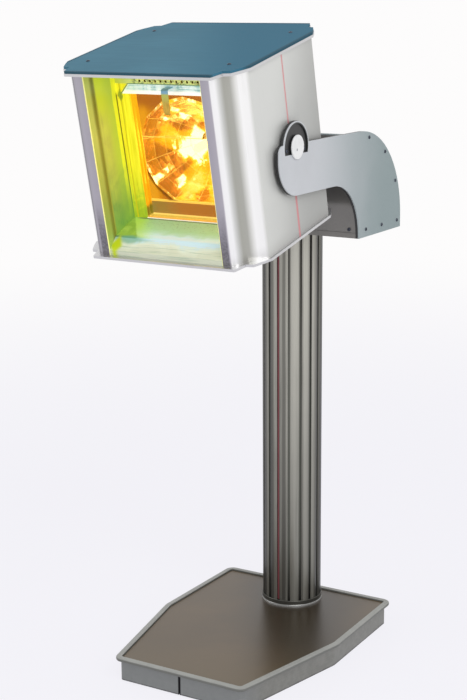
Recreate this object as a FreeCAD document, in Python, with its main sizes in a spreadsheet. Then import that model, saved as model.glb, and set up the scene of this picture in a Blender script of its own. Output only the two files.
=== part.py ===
import FreeCAD, Part
import math
import os
import types

import Sketcher
from FreeCAD import Placement, Rotation, Vector

# Infrared heat therapy lamp: a hexagonal weighted base, a fluted column, a swan-neck yoke and a
# box-shaped lamp head that tilts between the yoke's two arms.
#
# Frame: millimetres, +Z up, the lamp shines towards -Y, and X runs across it. The origin lies on
# the floor, under the axis of the column. The head is drawn about its own centre, upright, and
# each of its pieces is then tilted and carried to its place.

SIZES = {
    # Base, measured from the column's axis
    "base_front": 370.0,
    "base_mid": 146.0,
    "base_back": 61.5,
    "base_front_half": 117.5,
    "base_mid_half": 166.5,
    "base_back_taper": 4.0,
    "base_corner_radius": 15.0,
    "base_flank_radius": 40.0,
    "mat_thickness": 3.0,
    "mat_inset": 14.0,
    "ballast_thickness": 12.0,
    "skirt_bottom": 2.0,
    "skirt_top": 35.5,
    "skirt_inset": 8.0,
    "skirt_wall": 2.5,
    "skirt_seam": 1.6,
    "deck_thickness": 2.5,
    "panel_thickness": 6.0,
    "panel_recess": 2.5,
    "rim_height": 6.0,
    "rim_width": 9.5,
    "rim_edge_round": 2.2,
    # Column
    "column_radius": 50.0,
    "column_top": 689.5,
    "column_bore": 40.0,
    "flute_count": 16.0,
    "lobe_radius": 14.0,
    "slot_width": 4.2,
    "slot_depth": 6.5,
    "inlay_sink": 3.6,
    "port_circle": 33.0,
    "port_wall": 4.0,
    "foot_block_radius": 62.0,
    "foot_ring_width": 1.4,
    "foot_collar_width": 0.8,
    "foot_ring_height": 2.4,
    "foot_collar_height": 10.0,
    "column_bolt_radius": 4.0,
    "column_bolt_head": 6.5,
    "column_bolt_grip": 32.0,
    # Yoke
    "arm_inner": 154.5,
    "arm_plate_thickness": 4.0,
    "arm_cover_thickness": 2.0,
    "arm_reach": 51.0,
    "arm_drop": 69.5,
    "arm_rise": 5.0,
    "arm_end_radius": 53.5,
    "arm_nose_radius": 13.0,
    "arm_plate_proud": 1.0,
    "box_front": 78.0,
    "box_back": 72.0,
    "shoulder_flat": 3.0,
    "shoulder_straight": 18.5,
    "armpit_straight": 5.0,
    "sheet": 2.0,
    "cover_recess": 6.0,
    "cover_flat": 2.5,
    "cover_straight": 13.5,
    "lip_front": 74.5,
    "inner_foot_rise": 16.0,
    "inner_foot_run": 2.0,
    "inner_foot_round": 38.0,
    "inner_nose_rise": 45.0,
    "inner_nose_run": 12.0,
    "inner_nose_round": 16.0,
    "inner_back_rise": 103.0,
    "inner_back_run": 3.0,
    "inner_back_round": 118.0,
    "cover_flange": 11.0,
    "yoke_plate_thickness": 8.0,
    "angle_leg": 24.0,
    "angle_wall": 3.0,
    # Tilt joint
    "pivot_forward": 280.5,
    "yoke_rise": 160.5,
    "rest_tilt": 12.3,
    "boss_radius": 37.0,
    "window_radius": 33.0,
    "window_drop": 9.5,
    "stud_radius": 8.0,
    "stud_thread_radius": 4.0,
    "stud_thread_length": 4.0,
    "washer_radius": 30.0,
    "pivot_block_half": 30.0,
    "pivot_block_thickness": 12.0,
    "cap_radius": 17.5,
    "cap_thickness": 2.6,
    "cap_hub_radius": 9.5,
    "washer_screw_reach": 26.0,
    "washer_screw_drop": 4.0,
    # Head, measured from its centre
    "head_behind_pivot": 2.7,
    "head_side": 149.5,
    "head_front": 135.0,
    "head_bottom": 136.0,
    "head_top": 134.0,
    "head_wall": 4.0,
    "mouth_half": 97.0,
    "lip_depth": 22.0,
    "lip_half": 112.0,
    "end_plate_thickness": 4.0,
    "top_cover_thickness": 3.3,
    "bottom_plate_thickness": 4.0,
    "end_overhang_side": 3.5,
    "end_overhang_front": 9.5,
    "corner_in": 31.5,
    "notch_in": 25.5,
    "notch_back": 22.0,
    "lobe_in": 14.0,
    "lobe_back": 24.0,
    "cheek_in": 5.5,
    "cheek_back": 40.5,
    "flank_start": 53.5,
    "end_plate_round": 2.5,
    "nose_out": 7.0,
    "nose_back": 4.5,
    "nose_round": 9.0,
    "brow_out": 11.5,
    "brow_back": 13.0,
    "brow_round": 12.0,
    "cove_out": 14.5,
    "cove_back": 22.5,
    "cove_round": 8.0,
    "swell_back": 43.0,
    "swell_round": 3.0,
    "side_inlay_width": 2.6,
    "side_inlay_depth": 1.5,
    "tie_rod_x": 118.0,
    "tie_rod_y": 88.0,
    "tie_rod_radius": 5.0,
    # Light channel, filters and lamp
    "window_front": 60.0,
    "window_half": 74.0,
    "window_bottom": 103.0,
    "window_top": 87.0,
    "floor_back": 103.5,
    "floor_mid": 113.0,
    "floor_front": 129.0,
    "ceiling_back": 113.0,
    "filter_thickness": 3.0,
    "filter_margin": 6.0,
    "heat_glass_thickness": 4.0,
    "filter_gap": 5.0,
    "frame_width": 12.0,
    "catch_half": 8.0,
    "catch_reach": 16.0,
    "catch_drop": 34.0,
    "bulkhead": 36.0,
    "reflector_radius": 75.0,
    "reflector_depth": 62.0,
    "reflector_neck": 15.0,
    "reflector_wall": 1.5,
    "reflector_flange": 6.0,
    "reflector_drop": 6.0,
    "lamp_radius": 7.0,
    "lamp_length": 40.0,
    "holder_half": 14.0,
    "holder_depth": 22.0,
    # Rear panel and what it carries
    "panel_flange": 15.0,
    "rear_sheet": 2.0,
    "fan_half": 40.0,
    "fan_depth": 25.0,
    "fan_height": 38.0,
    "fan_hub_radius": 17.0,
    "fan_blade_radius": 36.0,
    "fan_blades": 7.0,
    "fan_blade_thickness": 1.6,
    "fan_blade_pitch": 38.0,
    "slot_pitch": 9.0,
    "vent_half": 34.0,
    "vent_height": 4.5,
    "socket_x": -48.0,
    "switch_x": 42.0,
    "socket_z": -96.0,
    "socket_half_width": 12.4,
    "socket_half_height": 8.3,
    "socket_wall": 1.6,
    "socket_depth": 17.0,
    "socket_flange": 3.0,
    "pin_recess": 6.0,
    "rocker_half_width": 6.5,
    "rocker_half_height": 12.0,
    "rocker_rise": 7.0,
    "rocker_slant": 2.2,
    "switch_wall": 1.5,
    "switch_depth": 16.0,
    "module_half": 38.0,
    "module_depth": 46.0,
    "module_height": 62.0,
    # Small fasteners
    "screw_head_radius": 2.85,
    "screw_head_height": 1.6,
    "screw_radius": 1.5,
    "screw_length": 8.0,
    "screw_edge": 8.0,
    # Clearances
    "fit": 0.05,
    "gap": 0.3,
}

doc = FreeCAD.newDocument("HeatLamp")
sheet = doc.addObject("Spreadsheet::Sheet", "Sizes")
for row, (alias, number) in enumerate(SIZES.items(), start=1):
    sheet.set(f"A{row}", alias)
    sheet.set(f"B{row}", str(number))
    sheet.setAlias(f"B{row}", alias)
doc.recompute()

nodes = []


class Size:
    """A number together with the spreadsheet expression that gives it."""

    def __init__(self, value, text):
        self.value = value
        self.text = text

    def __add__(self, other):
        other = as_size(other)
        return Size(self.value + other.value, f"({self.text} + {other.text})")

    def __sub__(self, other):
        other = as_size(other)
        return Size(self.value - other.value, f"({self.text} - {other.text})")

    def __mul__(self, other):
        other = as_size(other)
        return Size(self.value * other.value, f"({self.text} * {other.text})")

    def __truediv__(self, other):
        other = as_size(other)
        return Size(self.value / other.value, f"({self.text} / {other.text})")

    def __neg__(self):
        return Size(-self.value, f"(0 - {self.text})")

    def __radd__(self, other):
        return as_size(other) + self

    def __rsub__(self, other):
        return as_size(other) - self

    def __rmul__(self, other):
        return as_size(other) * self

    def __rtruediv__(self, other):
        return as_size(other) / self


def as_size(number):
    if isinstance(number, Size):
        return number
    return Size(float(number), f"({float(number)})")


def root(size):
    return Size(math.sqrt(size.value), f"sqrt({size.text})")


def smaller(size, other):
    return Size(min(size.value, other.value), f"min({size.text}; {other.text})")


def sine(degrees):
    degrees = as_size(degrees)
    return Size(math.sin(math.radians(degrees.value)), f"sin({degrees.text})")


def cosine(degrees):
    degrees = as_size(degrees)
    return Size(math.cos(math.radians(degrees.value)), f"cos({degrees.text})")


S = types.SimpleNamespace(**{name: Size(number, f"Sizes.{name}") for name, number in SIZES.items()})


# ---------------------------------------------------------------- building blocks

AXIS_TURN = {
    "X": Rotation(Vector(0, 1, 0), 90),
    "Y": Rotation(Vector(1, 0, 0), -90),
    "Z": Rotation(),
}


def bind(item, prop, size):
    item.setExpression(prop, as_size(size).text)


def place(item, x=0, y=0, z=0, turn=Rotation()):
    """Place an object at a point given by sizes, turned as asked."""
    item.Placement = Placement(Vector(), turn)
    for prop, size in (("x", x), ("y", y), ("z", z)):
        bind(item, f"Placement.Base.{prop}", size)
    return item


def block(name, x_span, y_span, z_span):
    """A box between two limits on each axis."""
    item = doc.addObject("Part::Box", name)
    for prop, span in (("Length", x_span), ("Width", y_span), ("Height", z_span)):
        bind(item, prop, as_size(span[1]) - span[0])
    return place(item, x_span[0], y_span[0], z_span[0])


def rod(name, radius, length, x=0, y=0, z=0, axis="Z"):
    """A cylinder that starts at a point and runs along +X, +Y or +Z."""
    item = doc.addObject("Part::Cylinder", name)
    bind(item, "Radius", radius)
    bind(item, "Height", length)
    return place(item, x, y, z, AXIS_TURN[axis])


def group(name, items):
    item = doc.addObject("Part::Compound", name)
    item.Links = items
    return item


def fuse(name, items):
    item = doc.addObject("Part::MultiFuse", name)
    item.Shapes = items
    return item


def common(name, base, tool):
    item = doc.addObject("Part::Common", name)
    item.Base = base
    item.Tool = tool
    return item


def cut(name, base, tools):
    """Subtract tools that don't overlap each other from a base."""
    item = doc.addObject("Part::Cut", name)
    item.Base = base
    item.Tool = tools[0] if len(tools) == 1 else group(f"{name}_tools", tools)
    return item


def mirror(name, source):
    """The other hand of a piece, across the plane x = 0."""
    item = doc.addObject("Part::Mirroring", name)
    item.Source = source
    item.Normal = Vector(1, 0, 0)
    return item


def node(name, item):
    """Register an object as a named sub-part of the lamp."""
    item.Label = name
    nodes.append(item)
    return item


def sketch_on(body, name, role):
    sketch = body.newObject("Sketcher::SketchObject", name)
    plane = [feature for feature in body.Origin.OriginFeatures if feature.Role == role][0]
    sketch.AttachmentSupport = [(plane, "")]
    sketch.MapMode = "FlatFace"
    return sketch


def add_polygon(sketch, corners):
    """A closed run of lines, each corner held by two dimensions from the sketch's origin."""
    corners = [(as_size(u), as_size(v)) for u, v in corners]
    count = len(corners)
    points = [Vector(u.value, v.value, 0) for u, v in corners]
    for index in range(count):
        sketch.addGeometry(Part.LineSegment(points[index], points[(index + 1) % count]), False)
    for index in range(count):
        sketch.addConstraint(Sketcher.Constraint("Coincident", index, 2, (index + 1) % count, 1))
    for index, corner in enumerate(corners):
        for kind, size in zip(("DistanceX", "DistanceY"), corner):
            rule = Sketcher.Constraint(kind, -1, 1, index, 1, size.value)
            number = sketch.addConstraint(rule)
            sketch.setExpression(f"Constraints[{number}]", size.text)
    return points


def add_circle(sketch, u, v, radius):
    """A circle held by its radius and by two dimensions from the sketch's origin."""
    u, v, radius = as_size(u), as_size(v), as_size(radius)
    circle = Part.Circle(Vector(u.value, v.value, 0), Vector(0, 0, 1), radius.value)
    index = sketch.addGeometry(circle, False)
    for kind, size in (("DistanceX", u), ("DistanceY", v)):
        number = sketch.addConstraint(Sketcher.Constraint(kind, -1, 1, index, 3, size.value))
        sketch.setExpression(f"Constraints[{number}]", size.text)
    number = sketch.addConstraint(Sketcher.Constraint("Radius", index, radius.value))
    sketch.setExpression(f"Constraints[{number}]", radius.text)


def pad(body, name, sketch, length):
    feature = body.newObject("PartDesign::Pad", name)
    feature.Profile = sketch
    bind(feature, "Length", length)
    return feature


def edge_names(shape, wanted):
    return [f"Edge{index + 1}" for index, edge in enumerate(shape.Edges) if wanted(edge)]


PLANE_AXES = {"XY_Plane": ("X", "Y", "Z"), "YZ_Plane": ("Y", "Z", "X")}


def prism(name, corners, length, role="XY_Plane", rounds=None, soften=None):
    """A polygon padded along its plane's normal.

    rounds maps corner numbers to radii. soften rounds the rims of both end faces.
    """
    body = doc.addObject("PartDesign::Body", name)
    sketch = sketch_on(body, f"{name}_outline", role)
    points = add_polygon(sketch, corners)
    feature = pad(body, f"{name}_pad", sketch, length)
    doc.recompute()
    first, second, along = PLANE_AXES[role]

    def stands_on(point):
        def test(edge):
            return all(
                abs(getattr(vertex, first) - point.x) < 1e-4
                and abs(getattr(vertex, second) - point.y) < 1e-4
                for vertex in edge.Vertexes
            )
        return test

    for index, radius in (rounds or {}).items():
        edges = edge_names(feature.Shape, stands_on(points[index]))
        if not edges:
            raise ValueError(f"{name}: no edge at corner {index}")
        fillet = body.newObject("PartDesign::Fillet", f"{name}_round")
        fillet.Base = (feature, edges)
        bind(fillet, "Radius", radius)
        doc.recompute()
        feature = fillet
    if soften is not None:
        rims = edge_names(
            feature.Shape,
            lambda edge: abs(getattr(edge.Vertexes[0], along) - getattr(edge.Vertexes[-1], along)) < 1e-6,
        )
        fillet = body.newObject("PartDesign::Fillet", f"{name}_soft")
        fillet.Base = (feature, rims)
        bind(fillet, "Radius", soften)
    return body


def turned(name, profile):
    """A profile of (radius, height) corners revolved about +Z."""
    body = doc.addObject("PartDesign::Body", name)
    sketch = sketch_on(body, f"{name}_profile", "XZ_Plane")
    add_polygon(sketch, profile)
    feature = body.newObject("PartDesign::Revolution", f"{name}_turn")
    feature.Profile = sketch
    feature.ReferenceAxis = (sketch, ["V_Axis"])
    feature.Angle = 360
    return body


def polar(body, feature, count):
    """Repeat a feature around the body's Z axis."""
    pattern = body.newObject("PartDesign::PolarPattern", f"{feature.Name}_ring")
    pattern.Originals = [feature]
    axis = [item for item in body.Origin.OriginFeatures if item.Role == "Z_Axis"][0]
    pattern.Axis = (axis, [""])
    pattern.Angle = 360
    bind(pattern, "Occurrences", count)
    body.Tip = pattern
    return pattern


def pocket(body, name, sketch, length):
    """Cut a sketch's outline upwards, the way the pads run."""
    feature = body.newObject("PartDesign::Pocket", name)
    feature.Profile = sketch
    feature.Reversed = True
    bind(feature, "Length", length)
    return feature


def button_screw(name, x, y, z, axis, outward):
    """A small screw: outward is +1 where its head looks along +axis, -1 along -axis."""
    point = {"X": x, "Y": y, "Z": z}
    head_start = dict(point)
    shank_start = dict(point)
    if outward > 0:
        shank_start[axis] = as_size(point[axis]) - S.screw_length
    else:
        head_start[axis] = as_size(point[axis]) - S.screw_head_height
    head = rod(f"{name}_head", S.screw_head_radius, S.screw_head_height,
               head_start["X"], head_start["Y"], head_start["Z"], axis)
    shank = rod(f"{name}_shank", S.screw_radius, S.screw_length,
                shank_start["X"], shank_start["Y"], shank_start["Z"], axis)
    return fuse(name, [head, shank])


def screw_bore(name, x, y, z, axis, outward):
    """The clearance hole for a button_screw at the same place."""
    start = {"X": x, "Y": y, "Z": z}
    if outward > 0:
        start[axis] = as_size(start[axis]) - S.screw_length - S.gap
    length = S.screw_length + S.gap
    return rod(name, S.screw_radius + S.fit, length, start["X"], start["Y"], start["Z"], axis)


# ---------------------------------------------------------------- base

panel_bottom = S.skirt_top + S.rim_height - S.panel_recess - S.panel_thickness
panel_top = panel_bottom + S.panel_thickness
deck_bottom = panel_bottom - S.deck_thickness
column_bottom = panel_bottom
ballast_top = S.mat_thickness + S.ballast_thickness
skirt_inner = S.skirt_inset + S.skirt_wall


def base_outline(inset):
    """The base's hexagon, moved inwards by a distance on every side."""
    slope = (S.base_mid_half - S.base_front_half) / (S.base_front - S.base_mid)
    taper = -S.base_back_taper / (S.base_mid + S.base_back)
    slope_length = root(1 + slope * slope)
    taper_length = root(1 + taper * taper)
    shift = inset * (slope_length - taper_length) / (slope - taper)
    front_x = S.base_front_half + inset * (slope - slope_length)
    mid_x = S.base_mid_half + taper * shift - inset * taper_length
    back_x = S.base_mid_half - S.base_back_taper - inset * (taper + taper_length)
    front_y = inset - S.base_front
    mid_y = shift - S.base_mid
    back_y = S.base_back - inset
    right = [(front_x, front_y), (mid_x, mid_y), (back_x, back_y)]
    left = [(-x, y) for x, y in reversed(right)]
    return right + left


def base_plate(name, inset, bottom, thickness, soften=None):
    inset = as_size(inset)
    corner = S.base_corner_radius - inset
    flank = S.base_flank_radius - inset
    rounds = {0: corner, 1: flank, 2: corner, 3: corner, 4: flank, 5: corner}
    body = prism(name, base_outline(inset), thickness, rounds=rounds, soften=soften)
    return place(body, z=bottom)


def bolt_circle(name, radius, length, bottom):
    """Four rods on the column's port circle, on the diagonals."""
    reach = S.port_circle * sine(45)
    return [
        rod(f"{name}_{index}", radius, length, x=sign_x * reach, y=sign_y * reach, z=bottom)
        for index, (sign_x, sign_y) in enumerate(((1, 1), (-1, 1), (-1, -1), (1, -1)))
    ]


def make_base():
    node("rubber_mat", base_plate("rubber_mat", S.mat_inset, 0, S.mat_thickness))

    ballast = base_plate("ballast_blank", skirt_inner + S.gap, S.mat_thickness, S.ballast_thickness)
    bolt_holes = bolt_circle("ballast_bolt_hole", S.column_bolt_radius + S.fit,
                             S.ballast_thickness, S.mat_thickness)
    sink_depth = S.column_bolt_head
    sinks = bolt_circle("ballast_sink", S.column_bolt_head + S.gap, sink_depth, S.mat_thickness)
    drilled = cut("ballast_drilled", ballast, bolt_holes)
    node("ballast_plate", cut("ballast_plate", drilled, sinks))

    foot = rod("foot_block_blank", S.foot_block_radius, deck_bottom - ballast_top, z=ballast_top)
    foot_holes = bolt_circle("foot_block_hole", S.column_bolt_radius + S.fit,
                             deck_bottom - ballast_top, ballast_top)
    trim = block("foot_block_trim", (-S.foot_block_radius, S.foot_block_radius),
                 (S.base_back - skirt_inner - S.gap, S.foot_block_radius), (ballast_top, deck_bottom))
    node("column_foot_block", cut("column_foot_block", foot, [*foot_holes, trim]))

    deck = base_plate("deck_blank", skirt_inner, deck_bottom, S.deck_thickness)
    deck_holes = bolt_circle("deck_hole", S.column_bolt_radius + S.fit, S.deck_thickness, deck_bottom)
    node("base_deck", cut("base_deck", deck, deck_holes))

    skirt_height = S.skirt_top - S.skirt_bottom
    outer = base_plate("skirt_outer", S.skirt_inset, S.skirt_bottom, skirt_height)
    inner = base_plate("skirt_inner", skirt_inner, S.skirt_bottom, skirt_height)
    shell = cut("skirt_shell", outer, [inner])
    seam = block("skirt_seam_cut", (-S.skirt_seam / 2, S.skirt_seam / 2),
                 (S.skirt_inset - S.base_front - 1, skirt_inner - S.base_front + 1),
                 (S.skirt_bottom, S.skirt_top))
    node("base_skirt", cut("base_skirt", shell, [seam]))

    rim_outer = base_plate("rim_outer", 0, S.skirt_top, S.rim_height, soften=S.rim_edge_round)
    rim_inner = base_plate("rim_inner", S.rim_width, S.skirt_top, S.rim_height)
    node("base_rim", cut("base_rim", rim_outer, [rim_inner]))

    panel = base_plate("panel_blank", skirt_inner + S.gap, panel_bottom, S.panel_thickness)
    well = rod("panel_well", S.column_radius + S.gap, S.panel_thickness, z=panel_bottom)
    node("base_panel", cut("base_panel", panel, [well]))


# ---------------------------------------------------------------- column

column_length = S.column_top - column_bottom
lobe_reach = S.column_radius - S.lobe_radius
core_radius = lobe_reach * cosine(180 / S.flute_count) + S.lobe_radius / 2


def make_column():
    body = doc.addObject("PartDesign::Body", "column_profile")
    sketch = sketch_on(body, "column_core_outline", "XY_Plane")
    add_circle(sketch, 0, 0, core_radius)
    pad(body, "column_core", sketch, column_length)

    half_pitch = 180 / S.flute_count
    sketch = sketch_on(body, "column_lobe_outline", "XY_Plane")
    add_circle(sketch, lobe_reach * sine(half_pitch), -lobe_reach * cosine(half_pitch), S.lobe_radius)
    lobe = pad(body, "column_lobe", sketch, column_length)
    doc.recompute()
    polar(body, lobe, S.flute_count)
    doc.recompute()

    half_slot = S.slot_width / 2
    slot_floor = S.slot_depth - S.column_radius
    sketch = sketch_on(body, "column_slot_outline", "XY_Plane")
    add_polygon(sketch, [(-half_slot, -S.column_radius - 1), (half_slot, -S.column_radius - 1),
                         (half_slot, slot_floor), (-half_slot, slot_floor)])
    slot = pocket(body, "column_slot", sketch, column_length)
    doc.recompute()
    polar(body, slot, S.flute_count)
    doc.recompute()

    sketch = sketch_on(body, "column_bore_outline", "XY_Plane")
    add_circle(sketch, 0, 0, S.column_bore)
    pocket(body, "column_bore", sketch, column_length)
    place(body, z=column_bottom)

    ports = bolt_circle("column_port", S.column_bolt_radius + S.port_wall, column_length, column_bottom)
    webs = [
        prism(f"column_web_{index}", web_outline(angle), column_length)
        for index, angle in enumerate((45, 135, 225, 315))
    ]
    for web in webs:
        place(web, z=column_bottom)
    shaft = fuse("column_shaft", [body, *ports, *webs])
    taps = bolt_circle("column_tap", S.column_bolt_radius + S.fit, column_length, column_bottom)
    node("column", cut("column", shaft, taps))

    strip = block("column_inlay", (S.fit - half_slot, half_slot - S.fit),
                  (slot_floor - (S.slot_depth - S.inlay_sink), slot_floor),
                  (panel_top + S.foot_collar_height, S.column_top))
    node("column_inlay", strip)

    ring_inner = S.column_radius + S.gap
    ring = turned("column_foot_ring", [
        (ring_inner, 0),
        (ring_inner + S.foot_ring_width, 0),
        (ring_inner + S.foot_ring_width, S.foot_ring_height),
        (ring_inner + S.foot_collar_width, S.foot_ring_height + 0.8),
        (ring_inner + S.foot_collar_width, S.foot_collar_height - 0.6),
        (ring_inner + 0.3, S.foot_collar_height),
        (ring_inner, S.foot_collar_height),
    ])
    node("column_foot_ring", place(ring, z=panel_top))

    bolts = []
    head_bottom = S.mat_thickness
    shank_length = column_bottom + S.column_bolt_grip - head_bottom
    heads = bolt_circle("column_bolt_head", S.column_bolt_head, S.column_bolt_head, head_bottom)
    shanks = bolt_circle("column_bolt_shank", S.column_bolt_radius, shank_length, head_bottom)
    for index, (head, shank) in enumerate(zip(heads, shanks)):
        bolts.append(fuse(f"column_bolt_{index}", [head, shank]))
    node("column_bolts", group("column_bolts", bolts))


def web_outline(angle):
    """A rib that ties a bolt port to the column's wall, on one diagonal."""
    half = S.port_wall / 2
    start = S.port_circle
    end = S.column_bore + S.fit + 1
    along = (cosine(angle), sine(angle))
    corners = ((start, -half), (end, -half), (end, half), (start, half))
    return [(u * along[0] - v * along[1], u * along[1] + v * along[0]) for u, v in corners]


# ---------------------------------------------------------------- yoke

pivot_height = S.column_top + S.yoke_rise
arm_end = S.pivot_forward + S.arm_reach
arm_bottom = pivot_height - S.arm_drop
arm_top = pivot_height + S.arm_rise
armpit_radius = arm_bottom - S.column_top - S.armpit_straight
shoulder_radius = smaller(S.box_front + S.box_back - S.shoulder_flat,
                          arm_top - S.column_top - S.shoulder_straight)
arm_outer = S.arm_inner + S.arm_plate_thickness
cover_outer = arm_outer + S.arm_cover_thickness
shoulder_y = S.box_back - shoulder_radius
shoulder_z = arm_top - shoulder_radius
yoke_floor = S.column_top + S.yoke_plate_thickness
cover_back = S.box_back - S.cover_recess
cover_top = arm_top - S.cover_recess
cover_radius = smaller(S.lip_front + cover_back - S.cover_flat,
                       cover_top - yoke_floor - S.cover_straight)


def swan_neck(proud):
    """Side view of an arm: corners (y, z) of the arm, the shoulder and the box."""
    return [
        (-arm_end - proud, arm_bottom),
        (-S.box_front, arm_bottom),
        (-S.box_front, S.column_top),
        (S.box_back, S.column_top),
        (S.box_back, arm_top),
        (-arm_end - proud, arm_top),
    ]


def arm_blank(name, thickness, start, proud=0):
    rounds = {
        0: S.arm_end_radius + proud,
        1: armpit_radius,
        4: shoulder_radius,
        5: S.arm_nose_radius + proud,
    }
    body = prism(name, swan_neck(as_size(proud)), thickness, "YZ_Plane", rounds)
    return place(body, x=start)


def side_screw_places():
    """(y, z) of the screws that hold an arm's cover: around the shoulder, then along the bottom."""
    reach = shoulder_radius - S.screw_edge
    around = [(shoulder_y + reach * cosine(angle), shoulder_z + reach * sine(angle))
              for angle in (78, 51.5, 25)]
    row = S.column_top + S.screw_edge * 1.5
    back = S.box_back - S.screw_edge * 1.6
    front = S.screw_edge * 3 - S.box_front
    return [*around, (back, row), ((back + front) / 2, row), (front, row)]


def washer_screw_places():
    """(y, z) of the two screws in the window that hold the tilt washer to the arm."""
    height = pivot_height - S.washer_screw_drop
    return [(sign * S.washer_screw_reach - S.pivot_forward, height) for sign in (-1, 1)]


def make_arms():
    washer_start = S.head_side + S.gap
    washer_length = S.arm_inner - washer_start
    disc, hole = [rod(f"washer_{part}", radius, washer_length, washer_start, -S.pivot_forward,
                      pivot_height, "X")
                  for part, radius in (("disc", S.washer_radius), ("hole", S.stud_radius + S.fit))]
    washer_bores = [screw_bore("washer_bore", arm_outer, y, z, "X", 1) for y, z in washer_screw_places()]
    washer = cut("washer_cut", disc, [hole, *washer_bores])
    node("tilt_washers", group("tilt_washers", [washer, mirror("washer_mirror", washer)]))
    screws = [button_screw("washer_screw", sign * arm_outer, y, z, "X", sign)
              for sign in (1, -1) for y, z in washer_screw_places()]
    node("washer_screws", group("washer_screws", screws))

    stem = arm_blank("arm_plate_stem", S.arm_plate_thickness, S.arm_inner, S.arm_plate_proud)
    boss = rod("arm_plate_boss", S.boss_radius, S.arm_plate_thickness,
               S.arm_inner, -S.pivot_forward, pivot_height, "X")
    plate = fuse("arm_plate_blank", [stem, boss])
    bore = rod("arm_plate_bore", S.stud_radius + S.fit, S.arm_plate_thickness,
               S.arm_inner, -S.pivot_forward, pivot_height, "X")
    plate_holes = [screw_bore(f"arm_plate_hole_{index}", cover_outer, y, z, "X", 1)
                   for index, (y, z) in enumerate(side_screw_places())]
    right = node("arm_plate_right", cut("arm_plate_right", plate, [bore, *washer_bores, *plate_holes]))
    node("arm_plate_left", mirror("arm_plate_left", right))

    cover = fuse("arm_cover_blank", [
        arm_blank("arm_cover_stem", S.arm_cover_thickness, arm_outer),
        rod("arm_cover_boss", S.boss_radius - S.arm_plate_proud / 2, S.arm_cover_thickness,
            arm_outer, -S.pivot_forward, pivot_height, "X"),
    ])
    disc = rod("window_disc", S.window_radius, S.arm_cover_thickness,
               arm_outer, -S.pivot_forward, pivot_height, "X")
    above = block("window_above", (arm_outer, cover_outer),
                  (-S.pivot_forward - S.window_radius, S.window_radius - S.pivot_forward),
                  (pivot_height - S.window_drop, pivot_height + S.window_radius))
    window = common("window", disc, above)
    hub = rod("cover_hub_hole", S.cap_hub_radius + S.gap, S.arm_cover_thickness,
              arm_outer, -S.pivot_forward, pivot_height, "X")
    opening = fuse("cover_opening", [window, hub])
    cover_holes = [screw_bore(f"arm_cover_hole_{index}", cover_outer, y, z, "X", 1)
                   for index, (y, z) in enumerate(side_screw_places())]
    right = node("arm_cover_right", cut("arm_cover_right", cover, [opening, *cover_holes]))
    node("arm_cover_left", mirror("arm_cover_left", right))


def cover_shell(name, thickness, half_width):
    """The bent outer sheet, or a flange of it, as an L with a large round corner."""
    corners = [
        (-S.lip_front, cover_top),
        (-S.lip_front, cover_top - thickness),
        (cover_back - thickness, cover_top - thickness),
        (cover_back - thickness, yoke_floor),
        (cover_back, yoke_floor),
        (cover_back, cover_top),
    ]
    body = prism(name, corners, half_width[1] - half_width[0], "YZ_Plane",
                 {2: cover_radius - thickness, 5: cover_radius})
    return place(body, x=half_width[0])


inner_cover_foot = S.box_front - 1


def inner_cover_path():
    """The inner sheet's front face (y, z), from the yoke plate up past the swing of the head."""
    return [
        (-inner_cover_foot, yoke_floor),
        (-inner_cover_foot - S.inner_foot_run, yoke_floor + S.inner_foot_rise),
        (-inner_cover_foot - S.inner_nose_run, yoke_floor + S.inner_nose_rise),
        (-inner_cover_foot + S.inner_back_run, yoke_floor + S.inner_back_rise),
        (-S.lip_front, cover_top - S.sheet),
    ]


def cover_screw_places():
    """(x, z) of the screws through the inner and outer sheets into the angles."""
    height = S.column_top + S.screw_edge * 1.7
    side = S.arm_inner - S.angle_wall - S.screw_edge
    return [(-side, height), (side, height)]


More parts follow.
